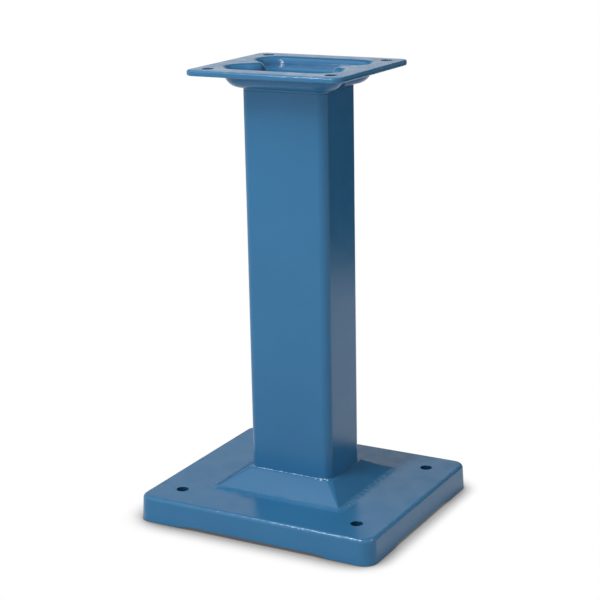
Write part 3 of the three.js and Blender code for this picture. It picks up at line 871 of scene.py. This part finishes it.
mouth_half = COLUMN_WIDTH / 2 + MOUTH_OVER_Y
lobe = Vector((COLUMN_LENGTH / 2 + MOUTH_OVER_X - LOBE_RADIUS, LOBE_RADIUS - mouth_half, 0))


def arc(centre, start, sweep, steps):
    wire = bmesh.new()
    bmesh.ops.spin(wire, geom=[wire.verts.new(start)], cent=centre, axis=(0, 0, 1), angle=sweep, steps=steps)
    points = [vert.co.copy() for vert in wire.verts]
    wire.free()
    return points


def line(start, end, steps):
    return [start.lerp(end, step / steps) for step in range(1, steps)]


def mirrored(quarter):
    """The whole outline from the quarter that runs from the front middle to the right middle."""
    right = quarter + [Vector((point.x, -point.y, 0)) for point in quarter[-2::-1]]
    return right + [Vector((-point.x, point.y, 0)) for point in right[-2:0:-1]]


def lobed(offset, tongue_shift=0):
    """The mouth's outline at an offset from its edge, with the tongues drawn back by a shift."""
    tongue = Vector((COLUMN_LENGTH / 2 + TONGUE_RADIUS + tongue_shift, 0, 0))
    across = tongue - lobe
    lobe_sweep = math.atan2(across.y, across.x) + math.asin((LOBE_RADIUS + TONGUE_RADIUS) / across.length)
    front = Vector((0, -mouth_half - offset, 0))
    lobe_start = Vector((lobe.x, front.y, 0))
    lobe_points = arc(lobe, lobe_start, lobe_sweep, LOBE_STEPS)
    tip = Vector((tongue.x - TONGUE_RADIUS + offset, 0, 0))
    tongue_points = arc(tongue, tip, lobe_sweep - math.pi / 2, TONGUE_STEPS)[::-1]
    quarter = [front, *line(front, lobe_start, FRONT_STEPS), *lobe_points,
               *line(lobe_points[-1], tongue_points[0], FLANK_STEPS), *tongue_points]
    return mirrored(quarter)


def neck(inset, radius):
    """A rounded rectangle inside the column's outline, stepped like the mouth."""
    half_x, half_y = COLUMN_LENGTH / 2 - inset, COLUMN_WIDTH / 2 - inset
    front = Vector((0, -half_y, 0))
    turn = Vector((half_x - radius, radius - half_y, 0))
    corner = arc(turn, Vector((turn.x, -half_y, 0)), math.pi / 2, LOBE_STEPS)
    lobe_end = FRONT_STEPS + LOBE_STEPS
    tip = lobe_end + FLANK_STEPS + TONGUE_STEPS
    flank = lobed(0)[lobe_end:tip + 1]
    side = [Vector((half_x, turn.y * point.y / flank[0].y, 0)) for point in flank[1:]]
    return mirrored([front, *line(front, corner[0], FRONT_STEPS), *corner, *side])


print("outline points:", len(lobed(0)), len(neck(0, COLUMN_RADIUS)))

# %% [markdown]
# ## The head: levels and growing
# The head is one skin whose section changes from the column's rectangle to the lobed mouth. Bridging two
# outlines would leave a straight funnel, while the real one is a bowl. So the skin grows in small steps, and
# each step moves the new loop to a blend of two outlines, at a height on a quarter circle. This cell works
# out the levels and the outlines that the steps pass through.

# %% Head levels
HEAD_HEIGHT = 38
FLANGE = 9.5
MOUTH_ROUND = 12
HEAD_WALL = 5.5
NECK_FILLET = 4.5
LEDGE_ROUND = 4
SPIGOT_WALL = 6
SPIGOT_CLEARANCE = 0.3

head_seat = column_foot + COLUMN_HEIGHT + SEAT_GAP
head_top = head_seat + HEAD_HEIGHT
flange_under = head_top - FLANGE
spigot_foot = head_seat - SPIGOT_DEPTH
neck_top = head_seat + NECK_FILLET
bowl_floor = neck_top + HEAD_WALL
bowl_top = head_top - MOUTH_ROUND
bore_inset = COLUMN_WALL + SPIGOT_CLEARANCE + SPIGOT_WALL
rim_inset = MOUTH_ROUND - HEAD_WALL
throat = lobed(-MOUTH_ROUND)
rim = lobed(-rim_inset, rim_inset)
bore = neck(bore_inset, COLUMN_RADIUS - COLUMN_WALL)
spigot = neck(COLUMN_WALL + SPIGOT_CLEARANCE, COLUMN_RADIUS - COLUMN_WALL - SPIGOT_CLEARANCE)
collar = neck(0, COLUMN_RADIUS)


def quarter_turn(steps):
    """The angles of a quarter circle in equal steps, without its start."""
    return [math.pi / 2 * step / steps for step in range(1, steps + 1)]


def blended(first, second, share):
    return [start.lerp(end, share) for start, end in zip(first, second)]


def loop_at(bm, outline, height):
    loop = [bm.verts.new((point.x, point.y, height)) for point in outline]
    for start, end in zip(loop, loop[1:] + loop[:1]):
        bm.edges.new((start, end))
    return loop


def grow(bm, loop, outline, height):
    """Extrudes a loop to an outline at a height."""
    grown = extrude_loop(bm, loop)
    for vert, point in zip(grown, outline):
        vert.co = (point.x, point.y, height)
    return grown


print("head from", round(spigot_foot, 2), "to", round(head_top, 2), "mm")

# %% [markdown]
# ## The head: bowl and spigot
# From the rounded mouth the skin runs down the bowl, over a ledge and down the spigot's bore, round its foot
# and up outside to the neck, and then out through a small fillet and up round the outer bowl to the flange.
# Two shells and a bridge would also do, but one walk along the section keeps all its rings in one order.

# %% Bowl and spigot
ROUND_STEPS = 7
BOWL_STEPS = 12
LEDGE_STEPS = 4
FILLET_STEPS = 5

head = new_casting()
mouth_edge = loop_at(head, lobed(0), head_top)
skin = mouth_edge
for angle in quarter_turn(ROUND_STEPS):
    skin = grow(head, skin, lobed(-MOUTH_ROUND * math.sin(angle)), bowl_top + MOUTH_ROUND * math.cos(angle))
ledge = LEDGE_ROUND / (bore_inset + MOUTH_OVER_Y - MOUTH_ROUND)
for angle in quarter_turn(BOWL_STEPS):
    outline = blended(bore, throat, ledge + (1 - ledge) * math.cos(angle))
    skin = grow(head, skin, outline, bowl_top - (bowl_top - bowl_floor) * math.sin(angle))
for angle in quarter_turn(LEDGE_STEPS):
    outline = blended(bore, throat, ledge * (1 - math.sin(angle)))
    skin = grow(head, skin, outline, bowl_floor - LEDGE_ROUND * (1 - math.cos(angle)))
for outline, height in ((bore, spigot_foot), (spigot, spigot_foot), (spigot, head_seat), (collar, head_seat)):
    skin = grow(head, skin, outline, height)
fillet = NECK_FILLET / (MOUTH_OVER_Y - rim_inset)
for angle in quarter_turn(FILLET_STEPS):
    outline = blended(collar, rim, fillet * (1 - math.cos(angle)))
    skin = grow(head, skin, outline, head_seat + NECK_FILLET * math.sin(angle))
for angle in quarter_turn(BOWL_STEPS):
    outline = blended(collar, rim, fillet + (1 - fillet) * math.sin(angle))
    skin = grow(head, skin, outline, neck_top + (flange_under - neck_top) * (1 - math.cos(angle)))
rim_edge = skin
print("head rings end at", round(rim_edge[0].co.z, 2), "mm; mouth at", round(head_top, 2), "mm")

# %% [markdown]
# ## The head: flange and lugs
# The flange carries the grinder: a thin rounded plate with soft edges and four bolt holes. A bevelled cube
# cut by Booleans would be close, but its holes would have sharp mouths. Here the plate's two flat faces are
# filled between its rim, the mouth or the bowl, and four turned holes. Lugs inside the spigot carry the
# screws, and a join grows them out of its wall.

# %% Flange and lugs
FLANGE_LENGTH = 280.5
FLANGE_WIDTH = 254
FLANGE_CORNER = 15.5
FLANGE_EDGE = 3
MOUNT_X = 111.25
MOUNT_Y = 98.5
MOUNT_RADIUS = 9.75
MOUNT_MOUTH = 0.6
MOUNT_FLAT = 13
HEAD_LUG = 12
HEAD_LUG_BORE = 5.5
HEAD_LUG_BITE = 2

flange_low = rounded_face(head, FLANGE_LENGTH, FLANGE_WIDTH, FLANGE_CORNER, flange_under, steps=10)
flange_edge = list(flange_low.verts)
flange_lip = lift(head, extrude_loop(head, flange_edge), FLANGE)
head.faces.new(flange_lip)
soften(head, loop_edges(head, flange_edge) + loop_edges(head, flange_lip), FLANGE_EDGE, steps=5)
plates = sorted(head.faces, key=lambda face: len(face.verts))[-2:]
plates.sort(key=lambda face: face.calc_center_median().z)
under_rim, top_rim = [open_rim(head, face) for face in plates]
mounts = [(sign_x * MOUNT_X, sign_y * MOUNT_Y) for sign_x, sign_y in QUARTERS]
for x, y in mounts:
    profile = [(MOUNT_FLAT, head_top), (MOUNT_RADIUS, head_top), (MOUNT_RADIUS, flange_under),
               (MOUNT_FLAT, flange_under)]
    turned(head, profile, {1: MOUNT_MOUTH, 2: MOUNT_MOUTH}, x, y, HOLE_STEPS)
    mark_bore(head, MOUNT_RADIUS, x, y, head_top - MOUNT_MOUTH)
top_holes = [open_ring(head, MOUNT_FLAT, x, y, head_top) for x, y in mounts]
under_holes = [open_ring(head, MOUNT_FLAT, x, y, flange_under) for x, y in mounts]
flat_fill(head, [top_rim, mouth_edge, *top_holes])
flat_fill(head, [under_rim, rim_edge, *under_holes], up=-1)
lug_inset = SPIGOT_CLEARANCE + HEAD_LUG_BITE
spigot_reach = (bore_length / 2 - lug_inset, bore_width / 2 - lug_inset)
head_lugs = [lug(*quarter, spigot_foot, HEAD_LUG, HEAD_LUG_BORE, *spigot_reach) for quarter in QUARTERS]
head = joined(head, head_lugs)
finish_piece(head, "head_skin", paint, "cast_paint", "head_casting")

# %% [markdown]
# ## Washers
# A flat washer is a small rectangle turned about the fastener's axis. A spring washer is the same section
# turned almost all the way round, with its two cut ends left apart, as it looks when it is pressed flat. A
# tube primitive would give the first but not the second, and spin gives both. Their edges get narrow rounds.

# %% Washer helpers
WASHER_EDGE = 0.3
WASHER_STEPS = 48
SPLIT = 2
SPLIT_STEPS = 44
SHARP = 1


def round_washer(bm):
    """Rounds the edges that turn by more than about a radian."""
    tidy(bm)
    sharp = [edge for edge in bm.edges if edge.is_manifold and edge.calc_face_angle() > SHARP]
    soften(bm, sharp, WASHER_EDGE, steps=2)
    return bm


def flat_washer(hole, outer, bottom, thickness):
    bm = new_casting()
    top = bottom + thickness
    section = [(hole, bottom), (outer, bottom), (outer, top), (hole, top), (hole, bottom)]
    turned(bm, section, {}, 0, 0, WASHER_STEPS)
    return round_washer(bm)


def spring_washer(hole, outer, bottom, thickness):
    bm = new_casting()
    half_split = math.asin(SPLIT / (hole + outer))
    section = bmesh.ops.create_grid(bm, x_segments=1, y_segments=1, size=0.5)["verts"]
    bmesh.ops.scale(bm, vec=(outer - hole, thickness, 1), verts=section)
    bmesh.ops.rotate(bm, matrix=Matrix.Rotation(math.pi / 2, 3, "X"), verts=section)
    bmesh.ops.translate(bm, vec=((hole + outer) / 2, 0, bottom + thickness / 2), verts=section)
    bmesh.ops.rotate(bm, matrix=Matrix.Rotation(half_split, 3, "Z"), verts=section)
    bmesh.ops.spin(bm, geom=bm.faces[:], cent=(0, 0, 0), axis=(0, 0, 1), dvec=(0, 0, 0),
                   angle=2 * math.pi - 2 * half_split, steps=SPLIT_STEPS, use_duplicate=False)
    return round_washer(bm)


print("spring washers are split by", SPLIT, "mm")

# %% [markdown]
# ## Bolts and screws
# A hexagon head is a prism whose corners are cut by a cone, which leaves the curved chamfers of every wrench
# face. A bevel would make them straight, so the prism is intersected with a turned solid. A socket screw's
# head is a knurled drum with a hexagon sunk in it: every second point round the drum is drawn in a little,
# and a hexagonal tool cuts the socket. The shanks are plain, since their threads stay hidden in the lugs.

# %% Bolt and screw helpers
SHANK_CHAMFER = 1
HEX_FACE_INSET = 0.4
HEX_CHAMFER = 1.6
HEX_OVER = 0.6
KNURL = 0.18
KNURL_POINTS = 96
CROWN_CHAMFER = 0.8
CROWN_FOOT = 0.3
CROWN_OVER = 1
CONE_STEPS = 72


def drum(profile, steps=48):
    """A solid turned from the axis out and back to the axis."""
    bm = new_casting()
    turned(bm, profile, {}, 0, 0, steps)
    return tidy(bm)


def prism(radius, sides, bottom, top):
    bm = new_casting()
    foot = ring(bm, radius, 0, 0, bottom, sides)
    lid = lift(bm, extrude_loop(bm, foot), top - bottom)
    bm.faces.new(foot)
    bm.faces.new(lid)
    return bm


def hex_bolt(radius, across, head_height, length, bearing):
    """A bolt that points up, with its head below its bearing face."""
    corner = across / math.sqrt(3)
    low = bearing - head_height
    over = corner + HEX_OVER
    cone = [(0, low), (across / 2 - HEX_FACE_INSET, low), (over, low + HEX_CHAMFER), (over, bearing),
            (0, bearing)]
    hexagon = joined(prism(corner, 6, low, bearing), [drum(cone, CONE_STEPS)], "INTERSECT")
    tip = bearing + length
    root = bearing - head_height / 2
    shank = [(0, root), (radius, root), (radius, tip - SHANK_CHAMFER), (radius - SHANK_CHAMFER, tip),
             (0, tip)]
    return joined(hexagon, [drum(shank)])


def socket_screw(radius, head_radius, head_height, across, depth, length, bearing):
    """A screw that points down, with its head above its bearing face."""
    top = bearing + head_height
    knurled = prism(head_radius, KNURL_POINTS, bearing, top)
    for vert in knurled.verts:
        spoke = round(math.atan2(vert.co.y, vert.co.x) / (2 * math.pi) * KNURL_POINTS)
        if spoke % 2:
            vert.co.xy *= 1 - KNURL / head_radius
    over = head_radius + CROWN_OVER
    crown = [(0, bearing), (head_radius - CROWN_FOOT, bearing), (over, bearing + CROWN_OVER + CROWN_FOOT),
             (over, top - CROWN_OVER - CROWN_CHAMFER), (head_radius - CROWN_CHAMFER, top), (0, top)]
    body = joined(knurled, [drum(crown, CONE_STEPS)], "INTERSECT")
    socket = prism(across / math.sqrt(3), 6, top - depth, top + CROWN_OVER)
    body = joined(body, [socket], "DIFFERENCE")
    tip = bearing - length
    root = bearing + head_height / 5
    shank = [(0, tip), (radius - SHANK_CHAMFER, tip), (radius, tip + SHANK_CHAMFER), (radius, root),
             (0, root)]
    return joined(body, [drum(shank)])


print("knurls round a screw's head:", KNURL_POINTS // 2)

# %% [markdown]
# ## Fitting the fasteners
# Bolts come up through the web into the column's foot, screws go down through the head's lugs into the
# column's top, and each holds a spring washer and a flat washer under its head. One set could be copied and
# moved, but every finished piece has its place in its mesh. So each set is made afresh, and the loop moves it
# to its lug's centre. A hair of space between the bearing faces keeps the pieces apart, as in the packed
# model.

# %% Fasteners
BOLT_RADIUS = 6
BOLT_ACROSS = 19
BOLT_HEAD = 7.5
BOLT_LENGTH = 45
BOLT_SPRING_RADIUS = 10.5
BOLT_SPRING = 3
BOLT_FLAT_RADIUS = 12
BOLT_FLAT = 2.5
SCREW_RADIUS = 5
SCREW_HEAD_RADIUS = 8
SCREW_HEAD = 10
SCREW_SOCKET = 8
SCREW_SOCKET_DEPTH = 5
SCREW_LENGTH = 35
SCREW_SPRING_RADIUS = 8.8
SCREW_SPRING = 2.5
SCREW_FLAT_RADIUS = 10
SCREW_FLAT = 2
HOLE_CLEARANCE = 0.3

bolt_flat = web_height - SEAT_GAP - BOLT_FLAT
bolt_spring = bolt_flat - SEAT_GAP - BOLT_SPRING
bolt_bearing = bolt_spring - SEAT_GAP
screw_flat = spigot_foot + HEAD_LUG + SEAT_GAP
screw_spring = screw_flat + SCREW_FLAT + SEAT_GAP
screw_bearing = screw_spring + SCREW_SPRING + SEAT_GAP


def base_set():
    hole = BOLT_RADIUS + HOLE_CLEARANCE
    return {"bolt": hex_bolt(BOLT_RADIUS, BOLT_ACROSS, BOLT_HEAD, BOLT_LENGTH, bolt_bearing),
            "spring_washer": spring_washer(hole, BOLT_SPRING_RADIUS, bolt_spring, BOLT_SPRING),
            "flat_washer": flat_washer(hole, BOLT_FLAT_RADIUS, bolt_flat, BOLT_FLAT)}


def head_set():
    hole = SCREW_RADIUS + HOLE_CLEARANCE
    return {"screw": socket_screw(SCREW_RADIUS, SCREW_HEAD_RADIUS, SCREW_HEAD, SCREW_SOCKET,
                                  SCREW_SOCKET_DEPTH, SCREW_LENGTH, screw_bearing),
            "spring_washer": spring_washer(hole, SCREW_SPRING_RADIUS, screw_spring, SCREW_SPRING),
            "flat_washer": flat_washer(hole, SCREW_FLAT_RADIUS, screw_flat, SCREW_FLAT)}


kits = (("base", base_set, zinc, "zinc_steel"), ("head", head_set, black, "black_steel"))
for end, kit, material, slot in kits:
    for number, (x, y) in enumerate(lugs, 1):
        for kind, bm in kit().items():
            bmesh.ops.translate(bm, vec=(x, y, 0), verts=bm.verts)
            finish_piece(bm, f"{end}_{kind}_skin_{number}", material, slot, f"{end}_{kind}_{number}")

# %% [markdown]
# ## The camera
# The camera stands to the right of the front, a little above the stand, and leans by about one degree. It
# could track an empty, but a tracked camera always stands upright. So its three axes are worked out from the
# place of the eye, the target and the roll, and set as one matrix.

# %% Camera
PHOTO_SIDE = 600
FOCAL_PIXELS = 1599.0
SENSOR = 36
EYE = Vector((1.25269, -2.27715, 1.08774))
TARGET = Vector((-0.00392, -0.00217, 0.36567))
ROLL = math.radians(-1.124)

back = (EYE - TARGET).normalized()
level = Vector((0, 0, 1)).cross(back).normalized()
upright = back.cross(level)
right = math.cos(ROLL) * level + math.sin(ROLL) * upright
up = back.cross(right)
lens = bpy.data.cameras.new("photo_camera")
lens.sensor_width = SENSOR
lens.lens = FOCAL_PIXELS / PHOTO_SIDE * SENSOR
camera = bpy.data.objects.new("photo_camera", lens)
camera.matrix_world = Matrix.Translation(EYE) @ Matrix((right, up, back)).transposed().to_4x4()
bpy.context.scene.collection.objects.link(camera)
bpy.context.scene.camera = camera
print("lens", round(lens.lens, 2), "mm")

# %% [markdown]
# ## The floor
# The floor is white paper that fills the picture. Lighting it until it is white would flood the stand with
# light. So Light Path tells the rays that look at the paper, directly or in a gloss, from the rays that carry
# its light back to the stand. The first see plain white, darkened at the stand's foot by an Ambient Occlusion
# node, which measures how much of the sky the skirt hides, and reaches a little less far on the right. The
# others meet a greyer sheet. From below the paper is clear, so that the stand's underside can be looked at.

# %% Floor
PAPER_WHITE = (1.0, 1.0, 1.0, 1)
PAPER_BOUNCE = (0.75, 0.75, 0.75, 1)
FLOOR_SIDE = 12
FLOOR_GAP = 0.0005
SHADE_REACH = 0.058
SHADE_REACH_RIGHT = 0.042
SHADE_TURN = (0.16, 0.24)
SHADE_LEVELS = (0.10, 1.0)
SHADE_DARK = 0.46
SHADE_CLEAR = 0.90
SHADE_SAMPLES = 16


def larger(tree, first, second):
    return add(tree, "ShaderNodeMath", {"operation": "MAXIMUM"}, i0=first, i1=second).outputs["Value"]


def seen(tree):
    """1 for the rays that show a background: camera, glossy and transmission."""
    rays = add(tree, "ShaderNodeLightPath").outputs
    return larger(tree, rays["Is Camera Ray"],
                  larger(tree, rays["Is Glossy Ray"], rays["Is Transmission Ray"]))


def one_sided(tree, front):
    """A shader that is clear from behind."""
    clear = add(tree, "ShaderNodeBsdfTransparent")
    behind = add(tree, "ShaderNodeNewGeometry").outputs["Backfacing"]
    return add(tree, "ShaderNodeMixShader", i0=behind, i1=front, i2=clear.outputs["BSDF"]).outputs["Shader"]


def sweep_paper():
    material, tree = new_material("sweep_paper")
    where = add(tree, "ShaderNodeTexCoord").outputs["Object"]
    across = add(tree, "ShaderNodeSeparateXYZ", Vector=where).outputs["X"]
    reach = between(tree, across, SHADE_REACH, SHADE_REACH_RIGHT, *SHADE_TURN)
    open_sky = add(tree, "ShaderNodeAmbientOcclusion", {"samples": SHADE_SAMPLES}, Distance=reach)
    white = between(tree, open_sky.outputs["AO"], *SHADE_LEVELS, SHADE_DARK, SHADE_CLEAR)
    ground = add(tree, "ShaderNodeEmission", Color=PAPER_WHITE, Strength=white)
    sheet = add(tree, "ShaderNodeBsdfDiffuse", Color=PAPER_BOUNCE)
    both = add(tree, "ShaderNodeMixShader", i0=seen(tree), i1=sheet.outputs["BSDF"],
               i2=ground.outputs["Emission"])
    add(tree, "ShaderNodeOutputMaterial", Surface=one_sided(tree, both.outputs["Shader"]))
    return material


def stage_card(name, width, height, material, matrix):
    bm = bmesh.new()
    bmesh.ops.create_grid(bm, x_segments=1, y_segments=1, size=0.5)
    bmesh.ops.scale(bm, vec=(width, height, 1), verts=bm.verts)
    bmesh.ops.transform(bm, matrix=matrix, verts=bm.verts)
    mesh = bpy.data.meshes.new(name)
    bm.to_mesh(mesh)
    bm.free()
    mesh.materials.append(material)
    card = bpy.data.objects.new(name, mesh)
    bpy.context.scene.collection.objects.link(card)
    return card


floor = stage_card("floor", FLOOR_SIDE, FLOOR_SIDE, sweep_paper(), Matrix.Translation((0, 0, -FLOOR_GAP)))
print("floor", tuple(floor.dimensions))

# %% [markdown]
# ## Lamps
# A large soft panel at the front left is the main light, a soft box overhead lights the level faces, and a
# small lamp above the front sets the bright points on the rounded corners. One sun would be simpler, but its
# light is too hard for a studio. The panel is hidden from the gloss, because its mirror image would whiten
# the whole front. The world adds a weak fill and is white for the rays that show a background, as the floor
# is.

# %% Lamps and world
FILL = 0.42


def soft_box(name, place, aim, size, power):
    light = bpy.data.lights.new(name, "AREA")
    light.shape = "RECTANGLE"
    light.size, light.size_y = size
    light.energy = power
    lamp = bpy.data.objects.new(name, light)
    lamp.location = place
    lamp.rotation_euler = (Vector(aim) - Vector(place)).to_track_quat("-Z", "Y").to_euler()
    bpy.context.scene.collection.objects.link(lamp)
    return lamp


key = soft_box("key", place=(-1.6, -2.6, 1.7), aim=(0, 0, 0.4), size=(3.0, 2.4), power=33)
key.visible_glossy = False
soft_box("overhead", place=(-1.1, -0.35, 2.5), aim=(0, 0, 0.2), size=(1.2, 1.2), power=5)
soft_box("spark", place=(-0.30, -1.40, 2.36), aim=(0, 0, 0.4), size=(0.3, 1.1), power=28)

world = bpy.data.worlds.new("studio")
bpy.context.scene.world = world
world.use_nodes = True
sky = world.node_tree
sky.nodes.clear()
fill = add(sky, "ShaderNodeBackground", Color=(1, 1, 1, 1), Strength=FILL)
white = add(sky, "ShaderNodeBackground", Color=(1, 1, 1, 1), Strength=1.0)
shown = add(sky, "ShaderNodeMixShader", i0=seen(sky), i1=fill.outputs["Background"],
            i2=white.outputs["Background"])
add(sky, "ShaderNodeOutputWorld", Surface=shown.outputs["Shader"])
bpy.context.scene.view_settings.view_transform = "Standard"
print("lamps:", len(bpy.data.lights))

# %% [markdown]
# ## Cards
# Gloss paint is seen by what it mirrors. More lamps could make its highlights, but would also brighten the
# paint round them. Cards that only the gloss sees change nothing else. Dark ones stand behind the stand, with
# a grey strip between them that the level faces mirror. Three small bright cards lie above the base's front
# edge and its right-hand side, and one stands before the flange, for the bright lines on rounded edges.

# %% Cards
DARK = 0.03
BLACK = 0.02
FLAG = {"x": 0.80, "y": 1.45, "width": 1.3}
BACKDROP = {"x": -1.26, "y": 2.28, "width": 5.0}
STRIP_FOOT = 0.70
STRIP_TOP = 1.60


def card_paint(name, level):
    material, tree = new_material(name)
    glow = add(tree, "ShaderNodeEmission", Color=(1, 1, 1, 1), Strength=level)
    add(tree, "ShaderNodeOutputMaterial", Surface=one_sided(tree, glow.outputs["Emission"]))
    return material


def gloss_card(name, level, width, height, matrix):
    """A card that shows only in the stand's gloss."""
    card = stage_card(name, width, height, card_paint(name, level), matrix)
    card.visible_camera = False
    card.visible_diffuse = False
    card.visible_shadow = False
    return card


def standing_card(name, level, bottom, top, x, y, width):
    turn = Vector((-x, -y, 0)).to_track_quat("Z", "Y").to_matrix().to_4x4()
    place = Matrix.Translation((x, y, (bottom + top) / 2))
    return gloss_card(name, level, width, top - bottom, place @ turn)


def lying_card(name, level, x, y, height, width, depth):
    face_down = Matrix.Rotation(math.pi, 4, "X")
    return gloss_card(name, level, width, depth, Matrix.Translation((x, y, height)) @ face_down)


cards = [standing_card("low_flag", BLACK, 0, 0.60, **FLAG),
         standing_card("high_flag", BLACK, 0.76, 2.2, **FLAG),
         standing_card("low_card", DARK, 0, STRIP_FOOT, **BACKDROP),
         standing_card("grey_strip", 0.84, STRIP_FOOT, STRIP_TOP, **BACKDROP),
         standing_card("high_card", DARK, STRIP_TOP, 9.0, **BACKDROP),
         lying_card("edge_card", 16.0, x=-0.08, y=-0.32, height=0.47, width=0.26, depth=0.14),
         lying_card("bright_edge_card", 34.0, x=-0.02, y=-0.32, height=0.46, width=0.10, depth=0.10),
         lying_card("corner_card", 40.0, x=0.51, y=-0.03, height=0.42, width=0.12, depth=0.12),
         standing_card("flange_card", 250.0, 0.92, 1.03, x=-0.180, y=-0.61, width=0.04)]
print("cards:", len(cards))
